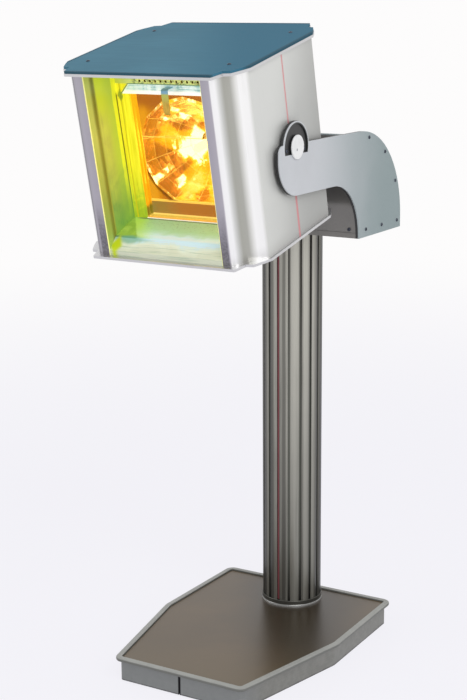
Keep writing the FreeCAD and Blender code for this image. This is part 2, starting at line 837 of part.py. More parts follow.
def make_yoke():
    half = S.arm_inner
    plate = block("yoke_plate_blank", (-half, half), (-S.box_front, cover_back),
                  (S.column_top, yoke_floor))
    holes = bolt_circle("yoke_plate_hole", S.column_bolt_radius + S.fit,
                        S.yoke_plate_thickness, S.column_top)
    node("yoke_bottom_plate", cut("yoke_bottom_plate", plate, holes))

    angle_front = S.sheet - inner_cover_foot + S.gap
    angle_back = cover_back - S.sheet * 2
    upright = block("angle_upright", (half - S.angle_wall, half), (angle_front, angle_back),
                    (yoke_floor, yoke_floor + S.angle_leg))
    flat = block("angle_flat", (half - S.angle_leg, half), (angle_front, angle_back),
                 (yoke_floor, yoke_floor + S.angle_wall))
    angle = fuse("angle_blank", [upright, flat])
    bores = [screw_bore(f"angle_hole_{index}", cover_outer, y, z, "X", 1)
             for index, (y, z) in enumerate(side_screw_places()[3:])]
    right = cut("angle_right", angle, bores)
    node("yoke_angles", group("yoke_angles", [right, mirror("angle_left", right)]))

    sheet_body = cover_shell("outer_cover_sheet", S.sheet, (-half, half))
    flange_right = cover_shell("outer_cover_flange", S.cover_flange, (half - S.sheet, half))
    keep = block("flange_keep", (half - S.sheet, half), (S.sheet * 2 - S.lip_front, cover_back),
                 (yoke_floor + S.angle_leg + S.gap, cover_top))
    flange_right = common("flange_right", flange_right, keep)
    flange_left = mirror("flange_left", flange_right)
    shell = fuse("outer_cover_shell", [sheet_body, flange_right, flange_left])
    side_bores = []
    for sign in (1, -1):
        for index, (y, z) in enumerate(side_screw_places()[:3]):
            bore = screw_bore(f"flange_hole_{index}", sign * cover_outer, y, z, "X", sign)
            side_bores.append(bore)
    back_bores = [screw_bore("outer_cover_hole", x, cover_back, z, "Y", 1)
                  for x, z in cover_screw_places()]
    node("yoke_outer_cover", cut("yoke_outer_cover", shell, [*side_bores, *back_bores]))

    front = inner_cover_path()
    rear = [(y + S.sheet, z) for y, z in reversed(front)]
    inner = prism("inner_cover_sheet", front + rear, 2 * half, "YZ_Plane",
                  {1: S.inner_foot_round + S.sheet, 8: S.inner_foot_round,
                   2: S.inner_nose_round + S.sheet, 7: S.inner_nose_round,
                   3: S.inner_back_round + S.sheet, 6: S.inner_back_round})
    place(inner, x=-half)
    front_bores = [screw_bore("inner_cover_hole", x, -inner_cover_foot - 1, z, "Y", -1)
                   for x, z in cover_screw_places()]
    node("yoke_inner_cover", cut("yoke_inner_cover", inner, front_bores))

    screws = []
    for sign in (1, -1):
        for y, z in side_screw_places():
            screws.append(button_screw("side_screw", sign * cover_outer, y, z, "X", sign))
    for x, z in cover_screw_places():
        screws.append(button_screw("back_screw", x, cover_back, z, "Y", 1))
        screws.append(button_screw("front_screw", x, -inner_cover_foot - 1.9, z, "Y", -1))
    node("yoke_screws", group("yoke_screws", screws))

    heads = bolt_circle("yoke_bolt_head", S.column_bolt_head, S.column_bolt_head, yoke_floor)
    shank_length = S.yoke_plate_thickness + S.column_bolt_grip
    shanks = bolt_circle("yoke_bolt_shank", S.column_bolt_radius, shank_length,
                         yoke_floor - shank_length)
    bolts = [fuse(f"yoke_bolt_{index}", [head, shank])
             for index, (head, shank) in enumerate(zip(heads, shanks))]
    node("yoke_bolts", group("yoke_bolts", bolts))


# ---------------------------------------------------------------- head

HEAD_TURN = Rotation(Vector(1, 0, 0), SIZES["rest_tilt"])
head_y = S.head_behind_pivot * cosine(S.rest_tilt) - S.pivot_forward
head_z = S.head_behind_pivot * sine(S.rest_tilt) + pivot_height


def in_head(name, items):
    """Carry pieces drawn about the head's centre to the head's place and tilt, as one node."""
    item = place(group(name, items), y=head_y, z=head_z, turn=HEAD_TURN)
    bind(item, "Placement.Rotation.Angle", S.rest_tilt)
    return node(name, item)


def end_outline(inset):
    """Top view of the end plates: a notch and a lobe at each corner."""
    front = S.head_front + S.end_overhang_front - inset
    side = S.head_side + S.end_overhang_side - inset
    quarter = [
        (side - S.corner_in, front),
        (side - S.notch_in, front - S.notch_back),
        (side - S.lobe_in, front - S.lobe_back),
        (side - S.cheek_in, front - S.cheek_back),
        (side, front - S.flank_start),
    ]
    return mirrored_quarter(quarter)


def mirrored_quarter(quarter):
    """A closed outline from the corners in the quarter x > 0, y > 0, given from front to side."""
    back_right = list(reversed(quarter))
    back_left = [(-x, y) for x, y in quarter]
    front_left = [(-x, -y) for x, y in reversed(quarter)]
    front_right = [(x, -y) for x, y in quarter]
    return back_right + back_left + front_left + front_right


def end_plate(name, inset, bottom, thickness):
    body = prism(name, end_outline(as_size(inset)), thickness,
                 rounds={corner: S.end_plate_round for corner in (4, 5, 14, 15)})
    return place(body, z=bottom)


def rod_places():
    return [(x * S.tie_rod_x, y * S.tie_rod_y) for x, y in ((1, 1), (-1, 1), (-1, -1), (1, -1))]


def side_section():
    """Section of a side profile, x > 0: a flat flank that swells out behind a nose and a cove."""
    wall = S.head_wall
    side = S.head_side
    front = S.head_front
    outer = [
        (S.mouth_half, front),
        (S.lip_half, front),
        (S.lip_half + S.nose_out, front - S.nose_back),
        (S.lip_half + S.brow_out, front - S.brow_back),
        (S.lip_half + S.cove_out, front - S.cove_back),
        (side, front - S.swell_back),
    ]
    inner = [
        (side - wall, front - S.swell_back - wall / 2),
        (S.lip_half + S.cove_out - wall, front - S.cove_back - wall / 3),
        (S.lip_half + S.brow_out - wall, front - S.brow_back - wall / 3),
        (S.lip_half + S.nose_out - wall * 0.7, front - S.nose_back - wall * 0.8),
        (S.lip_half - wall / 4, front - wall),
        (S.mouth_half + wall, front - wall),
        (S.mouth_half + wall, front - S.lip_depth),
        (S.mouth_half, front - S.lip_depth),
    ]
    loop = outer + [(x, -y) for x, y in reversed(outer)]
    return loop + [(x, -y) for x, y in reversed(inner)] + inner


def make_head_case():
    height = S.head_top + S.head_bottom
    body = prism("head_side_profile", side_section(), height,
                 rounds={2: S.nose_round, 9: S.nose_round, 3: S.brow_round, 8: S.brow_round,
                         4: S.cove_round, 7: S.cove_round, 5: S.swell_round, 6: S.swell_round})
    place(body, z=-S.head_bottom)
    half_inlay = S.side_inlay_width / 2
    groove = block("side_groove", (S.head_side - S.side_inlay_depth, S.head_side),
                   (-half_inlay, half_inlay), (-S.head_bottom, S.head_top))
    bore = rod("side_stud_hole", S.stud_radius + S.fit, S.head_wall * 2,
               S.head_side - S.head_wall * 1.5, -S.head_behind_pivot, 0, "X")
    side = cut("head_side_drilled", body, [groove, bore])
    in_head("head_side_right", [side])
    in_head("head_side_left", [mirror("head_side_mirror", side)])

    strip = block("side_strip", (S.head_side - S.side_inlay_depth, S.head_side),
                  (S.fit - half_inlay, half_inlay - S.fit), (-S.head_bottom, S.head_top))
    seat = rod("strip_gap", S.washer_radius + S.gap, S.side_inlay_depth + 1,
               S.head_side - S.side_inlay_depth, -S.head_behind_pivot, 0, "X")
    strip = cut("side_strip_cut", strip, [seat])
    in_head("side_inlays", [strip, mirror("side_strip_mirror", strip)])

    rods = [rod("tie_rod", S.tie_rod_radius, height, x, y, -S.head_bottom) for x, y in rod_places()]
    rod_taps = []
    for x, y in rod_places():
        rod_taps.append(rod("tie_tap_top", S.screw_radius + S.fit, S.screw_length,
                            x, y, S.head_top - S.screw_length))
        rod_taps.append(rod("tie_tap_bottom", S.screw_radius + S.fit, S.screw_length,
                            x, y, -S.head_bottom))
    in_head("tie_rods", [cut("tie_rods_tapped", group("tie_rods_plain", rods), rod_taps)])

    cover_top_z = S.head_top + S.end_plate_thickness + S.top_cover_thickness
    bottom_z = -S.head_bottom - S.bottom_plate_thickness
    plate = end_plate("top_plate_blank", 0, S.head_top, S.end_plate_thickness)
    cover = end_plate("top_cover_blank", 0.6, S.head_top + S.end_plate_thickness, S.top_cover_thickness)
    bottom = end_plate("bottom_plate_blank", 0, bottom_z, S.bottom_plate_thickness)
    top_bores = [screw_bore("top_bore", x, y, cover_top_z, "Z", 1) for x, y in rod_places()]
    bottom_bores = [screw_bore("bottom_bore", x, y, bottom_z, "Z", -1) for x, y in rod_places()]
    in_head("top_end_plate", [cut("top_plate_cut", plate, top_bores)])
    in_head("top_cover", [cut("top_cover_cut", cover, top_bores)])
    in_head("bottom_end_plate", [cut("bottom_plate_cut", bottom, bottom_bores)])
    screws = [button_screw("top_screw", x, y, cover_top_z, "Z", 1) for x, y in rod_places()]
    screws += [button_screw("bottom_screw", x, y, bottom_z, "Z", -1) for x, y in rod_places()]
    in_head("end_screws", screws)


def slanted_sheet(name, line, edge_z):
    """A sheet of the light channel along a line of (y, z) points, turned up at its front edge."""
    step = S.sheet if edge_z.value > 0 else -S.sheet
    front = line[0][0]
    face = [(front, edge_z), *line]
    back = [(y, z + step) for y, z in reversed(line[1:])]
    corners = face + back + [(front + S.sheet, line[0][1] + step), (front + S.sheet, edge_z)]
    width = S.mouth_half - S.gap
    return place(prism(name, corners, 2 * width, "YZ_Plane"), x=-width)


def make_light_channel():
    wall_front = S.lip_depth - S.head_front + S.gap
    wall = block("channel_wall", (S.mouth_half, S.mouth_half + S.sheet), (wall_front, -S.window_front),
                 (-S.head_bottom, S.head_top))
    in_head("channel_wall_right", [wall])
    in_head("channel_wall_left", [mirror("channel_wall_mirror", wall)])
    sheet_front = S.gap - S.head_front
    floor = slanted_sheet("channel_floor_sheet", [
        (sheet_front, -S.floor_front),
        (S.lip_depth - S.head_front, -S.floor_mid),
        (-S.window_front, -S.floor_back),
    ], -S.head_bottom)
    in_head("channel_floor", [floor])
    ceiling = slanted_sheet("channel_ceiling_sheet", [
        (sheet_front, S.head_top - S.sheet - 1),
        (-S.window_front, S.ceiling_back),
    ], S.head_top)
    in_head("channel_ceiling", [ceiling])

    panel_back = S.sheet - S.window_front
    blank = block("window_blank", (-S.mouth_half - S.sheet, S.mouth_half + S.sheet),
                  (-S.window_front, panel_back), (-S.head_bottom, S.head_top))
    hole = block("window_hole", (-S.window_half, S.window_half), (-S.window_front, panel_back),
                 (-S.window_bottom, S.window_top))
    pitch = S.slot_pitch
    vents = [rod("window_vent", S.vent_height / 2, S.sheet, pitch * step, -S.window_front,
                 S.ceiling_back - S.vent_height * 1.5, "Y") for step in range(-6, 7)]
    in_head("window_panel", [cut("window_panel_cut", blank, [hole, *vents])])

    half = S.catch_half
    catch_face = -S.window_front - S.catch_reach
    neck = block("catch_neck", (2 - half, half - 2), (catch_face, -S.window_front),
                 (S.window_top + 2, S.window_top + 14))
    finger = block("catch_finger", (-half, half), (catch_face - S.sheet, catch_face),
                   (S.window_top - S.catch_drop, S.window_top + 14))
    in_head("filter_catch", [fuse("catch_shape", [neck, finger])])

    glass_half = S.window_half + S.filter_margin
    glass_span = (-S.window_bottom - S.filter_margin, S.window_top + S.filter_margin)
    first = (panel_back + S.gap, panel_back + S.gap + S.filter_thickness)
    second_start = first[1] + S.filter_gap
    second = (second_start, second_start + S.heat_glass_thickness)
    in_head("orange_filter", [block("orange_glass", (-glass_half, glass_half), first, glass_span)])
    in_head("heat_glass", [block("clear_glass", (-glass_half, glass_half), second, glass_span)])

    frame_half = S.window_half + S.frame_width
    frame_back = second[1] + S.gap + S.sheet
    frame = block("frame_blank", (-frame_half, frame_half), (panel_back, frame_back),
                  (-S.window_bottom - S.frame_width, S.window_top + S.frame_width))
    opening = block("frame_opening", (-S.window_half, S.window_half), (panel_back, frame_back),
                    (-S.window_bottom, S.window_top))
    pockets = [
        block("frame_pocket", (-glass_half - S.gap, glass_half + S.gap), span,
              (glass_span[0] - S.gap, glass_span[1] + S.gap))
        for span in ((panel_back, first[1] + S.gap), (second[0] - S.gap, second[1] + S.gap))
    ]
    in_head("filter_frame", [cut("filter_frame_cut", frame, [fuse("frame_space", [opening, *pockets])])])


def make_lamp():
    axis_z = -S.reflector_drop
    rim = S.reflector_radius
    depth = S.reflector_depth
    wall = S.reflector_wall
    facets = ((1.0, 0.0), (0.88, 0.33), (0.69, 0.62), (0.45, 0.84))
    inner = [(rim * across, depth * along) for across, along in facets]
    inner.append((S.reflector_neck, depth))
    outer = [(radius + wall, along + wall * 0.6) for radius, along in inner[1:]]
    profile = [*inner, (S.reflector_neck + wall, depth), *reversed(outer[:-1]),
               (rim + wall, wall), (rim + S.reflector_flange, wall), (rim + S.reflector_flange, 0)]
    bowl = turned("reflector_bowl", profile)
    bulkhead_front = -S.bulkhead
    place(bowl, y=bulkhead_front - wall, z=axis_z, turn=AXIS_TURN["Y"])
    in_head("reflector", [bowl])

    blank = block("bulkhead_blank", (-S.mouth_half, S.mouth_half),
                  (bulkhead_front, bulkhead_front + S.sheet), (-S.head_bottom, S.head_top))
    hole = rod("bulkhead_hole", rim + wall + S.gap, S.sheet, 0, bulkhead_front, axis_z, "Y")
    in_head("reflector_plate", [cut("reflector_plate_cut", blank, [hole])])

    lamp_back = bulkhead_front + depth + S.gap
    envelope = rod("lamp_envelope", S.lamp_radius, S.lamp_length, 0, lamp_back - S.lamp_length, axis_z, "Y")
    tip = doc.addObject("Part::Sphere", "lamp_tip")
    bind(tip, "Radius", S.lamp_radius)
    place(tip, y=lamp_back - S.lamp_length, z=axis_z)
    in_head("halogen_lamp", [fuse("lamp_shape", [envelope, tip])])

    half = S.holder_half
    holder_back = lamp_back + S.holder_depth
    in_head("lamp_holder", [block("holder", (-half, half), (lamp_back, holder_back),
                                  (axis_z - half, axis_z + half))])
    leg = S.reflector_radius + S.reflector_flange + 5
    arms = [block("bracket_arm", (x, x + S.sheet), (bulkhead_front + S.sheet, holder_back + S.sheet),
                  (axis_z - half, axis_z + half)) for x in (-leg - S.sheet, leg)]
    back = block("bracket_back", (-leg - S.sheet, leg + S.sheet), (holder_back, holder_back + S.sheet),
                 (axis_z - half, axis_z + half))
    in_head("lamp_bracket", [fuse("bracket_shape", [*arms, back])])

    module_y = S.head_front - S.panel_flange - S.module_depth - 16
    in_head("power_module", [block("module", (-S.module_half, S.module_half),
                                   (module_y, module_y + S.module_depth),
                                   (-S.head_bottom, S.module_height - S.head_bottom))])


# ---------------------------------------------------------------- rear panel

rear_face = S.head_front - S.sheet
rear_inside = rear_face - S.rear_sheet
fan_back = rear_inside
fan_front = fan_back - S.fan_depth
rocker_axis_y = rear_face - 1


def make_rear():
    half = S.mouth_half - S.gap
    flange = rear_face - S.panel_flange
    tray = prism("rear_tray", [
        (-half, flange), (-half + S.rear_sheet, flange), (-half + S.rear_sheet, rear_inside),
        (half - S.rear_sheet, rear_inside), (half - S.rear_sheet, flange), (half, flange),
        (half, rear_face), (-half, rear_face),
    ], S.head_top + S.head_bottom)
    place(tray, z=-S.head_bottom)
    slots = [
        block("vent_slot", (-S.vent_half, S.vent_half), (rear_inside, rear_face),
              (S.fan_height + S.slot_pitch * step - S.vent_height / 2,
               S.fan_height + S.slot_pitch * step + S.vent_height / 2))
        for step in range(-3, 4)
    ]
    socket_x_half = S.socket_half_width + S.socket_wall + S.fit
    socket_z_half = S.socket_half_height + S.socket_wall + S.fit
    socket_hole = block("socket_hole", (S.socket_x - socket_x_half, S.socket_x + socket_x_half),
                        (rear_inside, rear_face),
                        (S.socket_z - socket_z_half, S.socket_z + socket_z_half))
    switch_x_half = S.rocker_half_width + S.gap + S.switch_wall + S.fit
    switch_z_half = S.rocker_half_height + 1.6 + S.switch_wall + S.fit
    switch_hole = block("switch_hole", (S.switch_x - switch_x_half, S.switch_x + switch_x_half),
                        (rear_inside, rear_face),
                        (S.socket_z - switch_z_half, S.socket_z + switch_z_half))
    bores = [screw_bore("rear_bore", x, rear_face, z, "Y", 1) for x, z in rear_screw_places()]
    panel = cut("rear_panel_cut", tray, [*slots, socket_hole, switch_hole, *bores])
    in_head("rear_panel", [panel])
    screws = [button_screw("rear_screw", x, rear_face, z, "Y", 1) for x, z in rear_screw_places()]
    in_head("rear_screws", screws)


def rear_screw_places():
    side = S.mouth_half - S.screw_edge * 1.4
    return [(x * side, z) for x in (-1, 1)
            for z in (S.head_top - S.screw_edge * 1.5, as_size(0), S.screw_edge * 1.5 - S.head_bottom)]


def make_socket_and_switch():
    wall = S.socket_wall
    wide, tall = S.socket_half_width, S.socket_half_height
    x, z = S.socket_x, S.socket_z
    floor_y = rear_face + S.rear_sheet - S.socket_depth
    shell = block("socket_shell", (x - wide - wall, x + wide + wall),
                  (floor_y - wall * 2, rear_face), (z - tall - wall, z + tall + wall))
    flange = block("socket_flange_plate",
                   (x - wide - wall - S.socket_flange, x + wide + wall + S.socket_flange),
                   (rear_face, rear_face + S.rear_sheet),
                   (z - tall - wall - S.socket_flange, z + tall + wall + S.socket_flange))
    cavity = block("socket_cavity", (x - wide, x + wide), (floor_y, rear_face + S.rear_sheet),
                   (z - tall, z + tall))
    hollow = cut("socket_hollow", fuse("socket_blank", [shell, flange]), [cavity])
    pins = [
        block("socket_pin", (x + across - 1, x + across + 1),
              (floor_y - wall, rear_face + S.rear_sheet - S.pin_recess), (z + rise - 2, z + rise + 2))
        for across, rise in ((-7, -1.5), (0, 2.5), (7, -1.5))
    ]
    in_head("power_inlet", [fuse("power_inlet_shape", [hollow, *pins])])

    x = S.switch_x
    wide = S.rocker_half_width + S.gap
    tall = S.rocker_half_height + 1.6
    wall = S.switch_wall
    body = block("switch_shell", (x - wide - wall, x + wide + wall),
                 (rear_face - S.switch_depth, rear_face), (z - tall - wall, z + tall + wall))
    bezel = block("switch_bezel", (x - wide - wall - 2, x + wide + wall + 2),
                  (rear_face, rear_face + S.rear_sheet), (z - tall - wall - 2, z + tall + wall + 2))
    space = block("switch_space", (x - wide, x + wide),
                  (rear_face - S.switch_depth + wall * 2, rear_face + S.rear_sheet), (z - tall, z + tall))
    hollow = cut("switch_hollow", fuse("switch_blank", [body, bezel]), [space])
    axle = rod("switch_axle", 1.5, 2 * wide, x - wide, rocker_axis_y, z, "X")
    in_head("switch_housing", [fuse("switch_housing_shape", [hollow, axle])])

    half = S.rocker_half_height
    rise = S.rocker_rise
    slant = S.rocker_slant
    outline = [
        (rocker_axis_y - 4, z - half * 0.7),
        (rocker_axis_y + rise - 2 * slant, z - half),
        (rocker_axis_y + rise - slant * 0.6, z),
        (rocker_axis_y + rise + slant * 0.6, z + half),
        (rocker_axis_y - 4, z + half * 0.7),
    ]
    rocker = prism("rocker_blank", outline, 2 * S.rocker_half_width, "YZ_Plane")
    place(rocker, x=x - S.rocker_half_width)
    bore = rod("rocker_bore", 1.5 + S.fit, 2 * S.rocker_half_width, x - S.rocker_half_width,
               rocker_axis_y, z, "X")
    in_head("switch_rocker", [cut("rocker_cut", rocker, [bore])])


def make_fan():
    half = S.fan_half
    z = S.fan_height
    blank = block("fan_blank", (-half, half), (fan_front, fan_back), (z - half, z + half))
    throat = rod("fan_throat", S.fan_blade_radius + 1.5, S.fan_depth, 0, fan_front, z, "Y")
    ring = cut("fan_ring", blank, [throat])
    reach = half - 1
    struts = [
        block("fan_strut", (-reach, reach), (fan_front, fan_front + 2.5), (z - 2.5, z + 2.5)),
        block("fan_strut", (-2.5, 2.5), (fan_front, fan_front + 2.5), (z - reach, z + reach)),
    ]
    motor = rod("fan_motor", S.fan_hub_radius, 4, 0, fan_front, z, "Y")
    shaft = rod("fan_shaft", 2, S.fan_depth - 4, 0, fan_front, z, "Y")
    in_head("fan_frame", [fuse("fan_frame_shape", [ring, *struts, motor, shaft])])

    hub_front = fan_front + 4 + S.gap
    hub_length = S.fan_depth - 4 - S.gap - 2
    hub = rod("fan_hub", S.fan_hub_radius, hub_length, 0, hub_front, z, "Y")
    blades = []
    for step in range(int(SIZES["fan_blades"])):
        blade = doc.addObject("Part::Box", "fan_blade")
        bind(blade, "Length", S.fan_blade_radius - S.fan_hub_radius + 2)
        bind(blade, "Width", hub_length * 0.85)
        bind(blade, "Height", S.fan_blade_thickness)
        pitch = Rotation(Vector(1, 0, 0), SIZES["fan_blade_pitch"])
        spread = Rotation(Vector(0, 1, 0), 360 / SIZES["fan_blades"] * step)
        start = pitch.multVec(Vector(0, -0.425 * hub_length.value, 0))
        start += Vector(SIZES["fan_hub_radius"] - 2, 0, 0)
        blade.Placement = Placement(
            spread.multVec(start) + Vector(0, hub_front.value + hub_length.value / 2, z.value),
            spread.multiply(pitch))
        blades.append(blade)
    rotor = fuse("fan_rotor_blank", [hub, *blades])
    bore = rod("fan_rotor_bore", 2 + S.fit, hub_length, 0, hub_front, z, "Y")
    in_head("fan_rotor", [cut("fan_rotor_cut", rotor, [bore])])


# ---------------------------------------------------------------- tilt joint

def make_pivot():
    block_half = S.pivot_block_half
    y = -S.head_behind_pivot
    inner_face = S.head_side - S.head_wall
    blank = block("pivot_block_blank", (inner_face - S.pivot_block_thickness, inner_face),
                  (y - block_half, y + block_half), (-block_half, block_half))
    bore = rod("pivot_block_bore", S.stud_radius + S.fit, S.pivot_block_thickness,
               inner_face - S.pivot_block_thickness, y, 0, "X")
    block_right = cut("pivot_block_cut", blank, [bore])
    in_head("pivot_blocks", [block_right, mirror("pivot_block_mirror", block_right)])

    stud_start = inner_face - S.pivot_block_thickness
    shoulder = arm_outer - stud_start
    stud = fuse("stud_shape", [
        rod("stud_shank", S.stud_radius, shoulder, stud_start, y, 0, "X"),
        rod("stud_thread", S.stud_thread_radius, shoulder + S.stud_thread_length, stud_start, y, 0, "X"),
        rod("stud_head", S.stud_radius * 1.7, 5, stud_start - 5, y, 0, "X"),
    ])
    in_head("pivot_studs", [stud, mirror("stud_mirror", stud)])

    hub_start = arm_outer + S.gap
    flange_start = cover_outer + S.gap
    hub_height = flange_start - hub_start
    full = hub_height + S.cap_thickness
    bore_depth = S.stud_thread_length
    cap = turned("cap_shape", [
        (S.stud_thread_radius + S.fit, 0),
        (S.cap_hub_radius, 0),
        (S.cap_hub_radius, hub_height),
        (S.cap_radius, hub_height),
        (S.cap_radius, full - 1),
        (S.cap_radius - 1.2, full),
        (0, full),
        (0, bore_depth),
        (S.stud_thread_radius + S.fit, bore_depth),
    ])
    place(cap, x=hub_start, y=y, turn=AXIS_TURN["X"])
    in_head("pivot_caps", [cap, mirror("cap_mirror", cap)])


# ---------------------------------------------------------------- build, check, write

for make in (make_base, make_column, make_arms, make_yoke, make_head_case, make_light_channel,
             make_lamp, make_rear, make_socket_and_switch, make_fan, make_pivot):
    make()
doc.recompute()

for item in doc.Objects:
    if "Invalid" in item.State or "Error" in item.State:
        raise ValueError(f"{item.Name} failed: {item.State}")
for item in nodes:
    if item.Shape.isNull() or not item.Shape.isValid() or not item.Shape.Solids:
        raise ValueError(f"{item.Label} has no valid solid")

os.makedirs("parts", exist_ok=True)
for item in nodes:
    item.Shape.exportStep(f"parts/{item.Label}.step")
print(len(nodes), "sub-parts written")
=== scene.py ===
"""Looks of an infrared heat therapy lamp: a boxed lamp head in a swan-neck yoke, on a fluted column and a
weighted base.

Lengths are metres, +Z is up and the lamp shines towards -Y.
"""

import math

import bmesh
import bpy
import numpy as np
from bpy.props import FloatProperty, FloatVectorProperty, IntProperty, PointerProperty
from mathutils import Matrix, Vector


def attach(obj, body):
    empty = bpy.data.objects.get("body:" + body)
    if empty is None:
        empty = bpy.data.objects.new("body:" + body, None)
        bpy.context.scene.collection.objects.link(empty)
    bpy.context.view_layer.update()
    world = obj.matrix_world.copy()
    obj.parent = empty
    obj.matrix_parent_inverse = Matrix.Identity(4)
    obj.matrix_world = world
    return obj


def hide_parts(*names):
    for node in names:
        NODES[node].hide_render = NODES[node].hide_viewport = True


bl_info = {
    "name": "Heat Therapy Lamp Looks",
    "version": (1, 0, 0),
    "blender": (4, 5, 0),
    "location": "3D View > Sidebar > Heat Lamp",
    "description": "Finishes, fine pieces and studio of an infrared heat therapy lamp",
    "category": "Object",
}

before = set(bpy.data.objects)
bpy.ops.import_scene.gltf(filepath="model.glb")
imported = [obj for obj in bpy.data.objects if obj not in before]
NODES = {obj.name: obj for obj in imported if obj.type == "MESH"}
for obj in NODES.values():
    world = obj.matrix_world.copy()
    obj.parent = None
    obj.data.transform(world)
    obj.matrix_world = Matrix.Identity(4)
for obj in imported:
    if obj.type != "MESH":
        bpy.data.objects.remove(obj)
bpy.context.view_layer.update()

# The head's own axes: its centre, and its tilt about X at rest
HEAD_TILT = math.radians(12.3)
HEAD_CENTRE = np.array([0.0, -0.277862, 0.850575])
HEAD_AXES = np.array([
    [1.0, 0.0, 0.0],
    [0.0, math.cos(HEAD_TILT), math.sin(HEAD_TILT)],
    [0.0, -math.sin(HEAD_TILT), math.cos(HEAD_TILT)],
])

# Places in the head's own axes: the channel's side from the middle, the panel round the filter, the
# reflector's mouth and how far it sits below the middle, and the fan
CHANNEL_SIDE = 0.097
PANEL_FRONT = -0.060
REFLECTOR_FRONT = -0.0375
REFLECTOR_DROP = -0.006
FAN_CENTRE = (0.0, 0.1196, 0.038)

# Order of coordinates that lays a form turned about Z along Y
ALONG_Y = [0, 2, 1]

BLACK = (0.0, 0.0, 0.0)
WHITE = (1.0, 1.0, 1.0)


def in_head(points):
    """Points of the head's own axes, in metres, carried to the frame's axes."""
    return HEAD_CENTRE + np.asarray(points, float) @ HEAD_AXES


def shade(red, green, blue):
    """A colour given in display numbers, 0 to 255, as the linear colour that the shaders take."""
    level = np.array([red, green, blue]) / 255.0
    linear = np.where(level <= 0.04045, level / 12.92, ((level + 0.055) / 1.055) ** 2.4)
    return tuple(float(channel) for channel in linear)


BACKDROP_WHITE = shade(253, 252, 252)
FLOOR_WHITE = shade(247, 246, 252)


def times(colour, part):
    """A colour times one number, or times a number for each channel."""
    return tuple(float(channel) for channel in np.multiply(colour, part))


# ---------------------------------------------------------------- surfaces

def ring_quads(rows, columns, looped):
    """Corner numbers of the quads between rings of points. Where looped is true, the last ring joins the
    first."""
    row, column = np.meshgrid(np.arange(rows if looped else rows - 1), np.arange(columns), indexing="ij")
    next_row, next_column = (row + 1) % rows, (column + 1) % columns
    quads = np.stack([row * columns + column, row * columns + next_column,
                      next_row * columns + next_column, next_row * columns + column], axis=-1)
    return quads.reshape(-1, 4)


def make_piece(name, sheets, finish, body, stands_for, tilted=True, crease=35.0):
    """One mesh from sheets, each (rings of points, looped).

    Points that fall together, as at a pole, are merged, and the faces are turned outwards.
    """
    points, quads, start = [], [], 0
    for sheet, looped in sheets:
        rows, columns = sheet.shape[:2]
        quads.append(ring_quads(rows, columns, looped) + start)
        points.append(sheet.reshape(-1, 3))
        start += rows * columns
    points = np.concatenate(points)
    mesh = bpy.data.meshes.new(name)
    mesh.from_pydata((in_head(points) if tilted else points).tolist(), [], np.concatenate(quads).tolist())
    shape = bmesh.new()
    shape.from_mesh(mesh)
    bmesh.ops.remove_doubles(shape, verts=shape.verts, dist=2e-6)
    bmesh.ops.recalc_face_normals(shape, faces=shape.faces)
    shape.to_mesh(mesh)
    shape.free()
    mesh.shade_smooth()
    mesh.set_sharp_from_angle(angle=math.radians(crease))
    piece = bpy.data.objects.new(name, mesh)
    bpy.context.scene.collection.objects.link(piece)
    wear(piece, FINISHES[finish])
    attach(piece, body)
    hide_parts(stands_for)
    return piece


def turned(profile, sides, start=0.0):
    """A profile of (radius, height) turned about Z: (r cos a, r sin a, h) at each angle a."""
    radius, height = np.asarray(profile, float).T[:, :, None]
    angle = start + np.arange(sides) * (2.0 * math.pi / sides)
    return np.stack(np.broadcast_arrays(radius * np.cos(angle), radius * np.sin(angle), height), axis=-1)


def arc(centre, radius, first, last, steps):
    """Points of a circle about a centre (u, v), from one angle to another, in degrees."""
    angle = np.radians(np.linspace(first, last, steps))
    return np.stack([centre[0] + radius * np.cos(angle), centre[1] + radius * np.sin(angle)], axis=-1)


def stood(points, centre, outward):
    """Points about Z carried so that +Z looks along outward and the origin lies at centre."""
    outward = np.asarray(outward, float)
    across = np.cross(outward, (0.0, 0.0, 1.0) if abs(outward[2]) < 0.9 else (1.0, 0.0, 0.0))
    across /= np.linalg.norm(across)
    return np.asarray(centre) + points @ np.array([across, np.cross(outward, across), outward])


def capped(rows):
    """Rows of points with a further row at both ends, drawn in to the end's middle."""
    ends = [np.broadcast_to(row.mean(axis=0), row.shape)[None] for row in (rows[0], rows[-1])]
    return np.concatenate([ends[0], rows, ends[1]])


def swept(path, first_side, second_side, section):
    """A section carried along a path: P(s) + u A(s) + v B(s), with both ends closed."""
    section = np.asarray(section, float)
    return capped(path[:, None, :] + section[None, :, :1] * first_side[:, None, :]
                  + section[None, :, 1:] * second_side[:, None, :])


# ---------------------------------------------------------------- shader maths

class Signal:
    """An output of a node, most often a number that varies over a surface. Arithmetic adds Math nodes."""

    def __init__(self, wiring, socket):
        self.wiring = wiring
        self.socket = socket

    def math(self, operation, *others):
        return self.wiring.add("ShaderNodeMath", {"operation": operation}, dict(enumerate((self, *others))))

    def __add__(self, other):
        return self.math("ADD", other)

    def __sub__(self, other):
        return self.math("SUBTRACT", other)

    def __mul__(self, other):
        return self.math("MULTIPLY", other)

    def __rsub__(self, other):
        return (self * -1.0) + other

    def __pow__(self, other):
        return self.math("POWER", other)

    def __abs__(self):
        return self.math("ABSOLUTE")

    __radd__, __rmul__ = __add__, __mul__

    def most(self, other):
        return self.math("MAXIMUM", other)

    def rise(self, low, high):
        """0 below low, 1 above high, with a smooth step between; a low above high falls instead."""
        if low > high:
            return 1.0 - self.rise(high, low)
        return self.wiring.add("ShaderNodeMapRange", {"interpolation_type": "SMOOTHSTEP"},
                               {"Value": self, "From Min": low, "From Max": high})

    def within(self, low, high, soft):
        """1 between two limits, 0 outside them, with soft edges."""
        return self.rise(low - soft, low + soft) * self.rise(high + soft, high - soft)


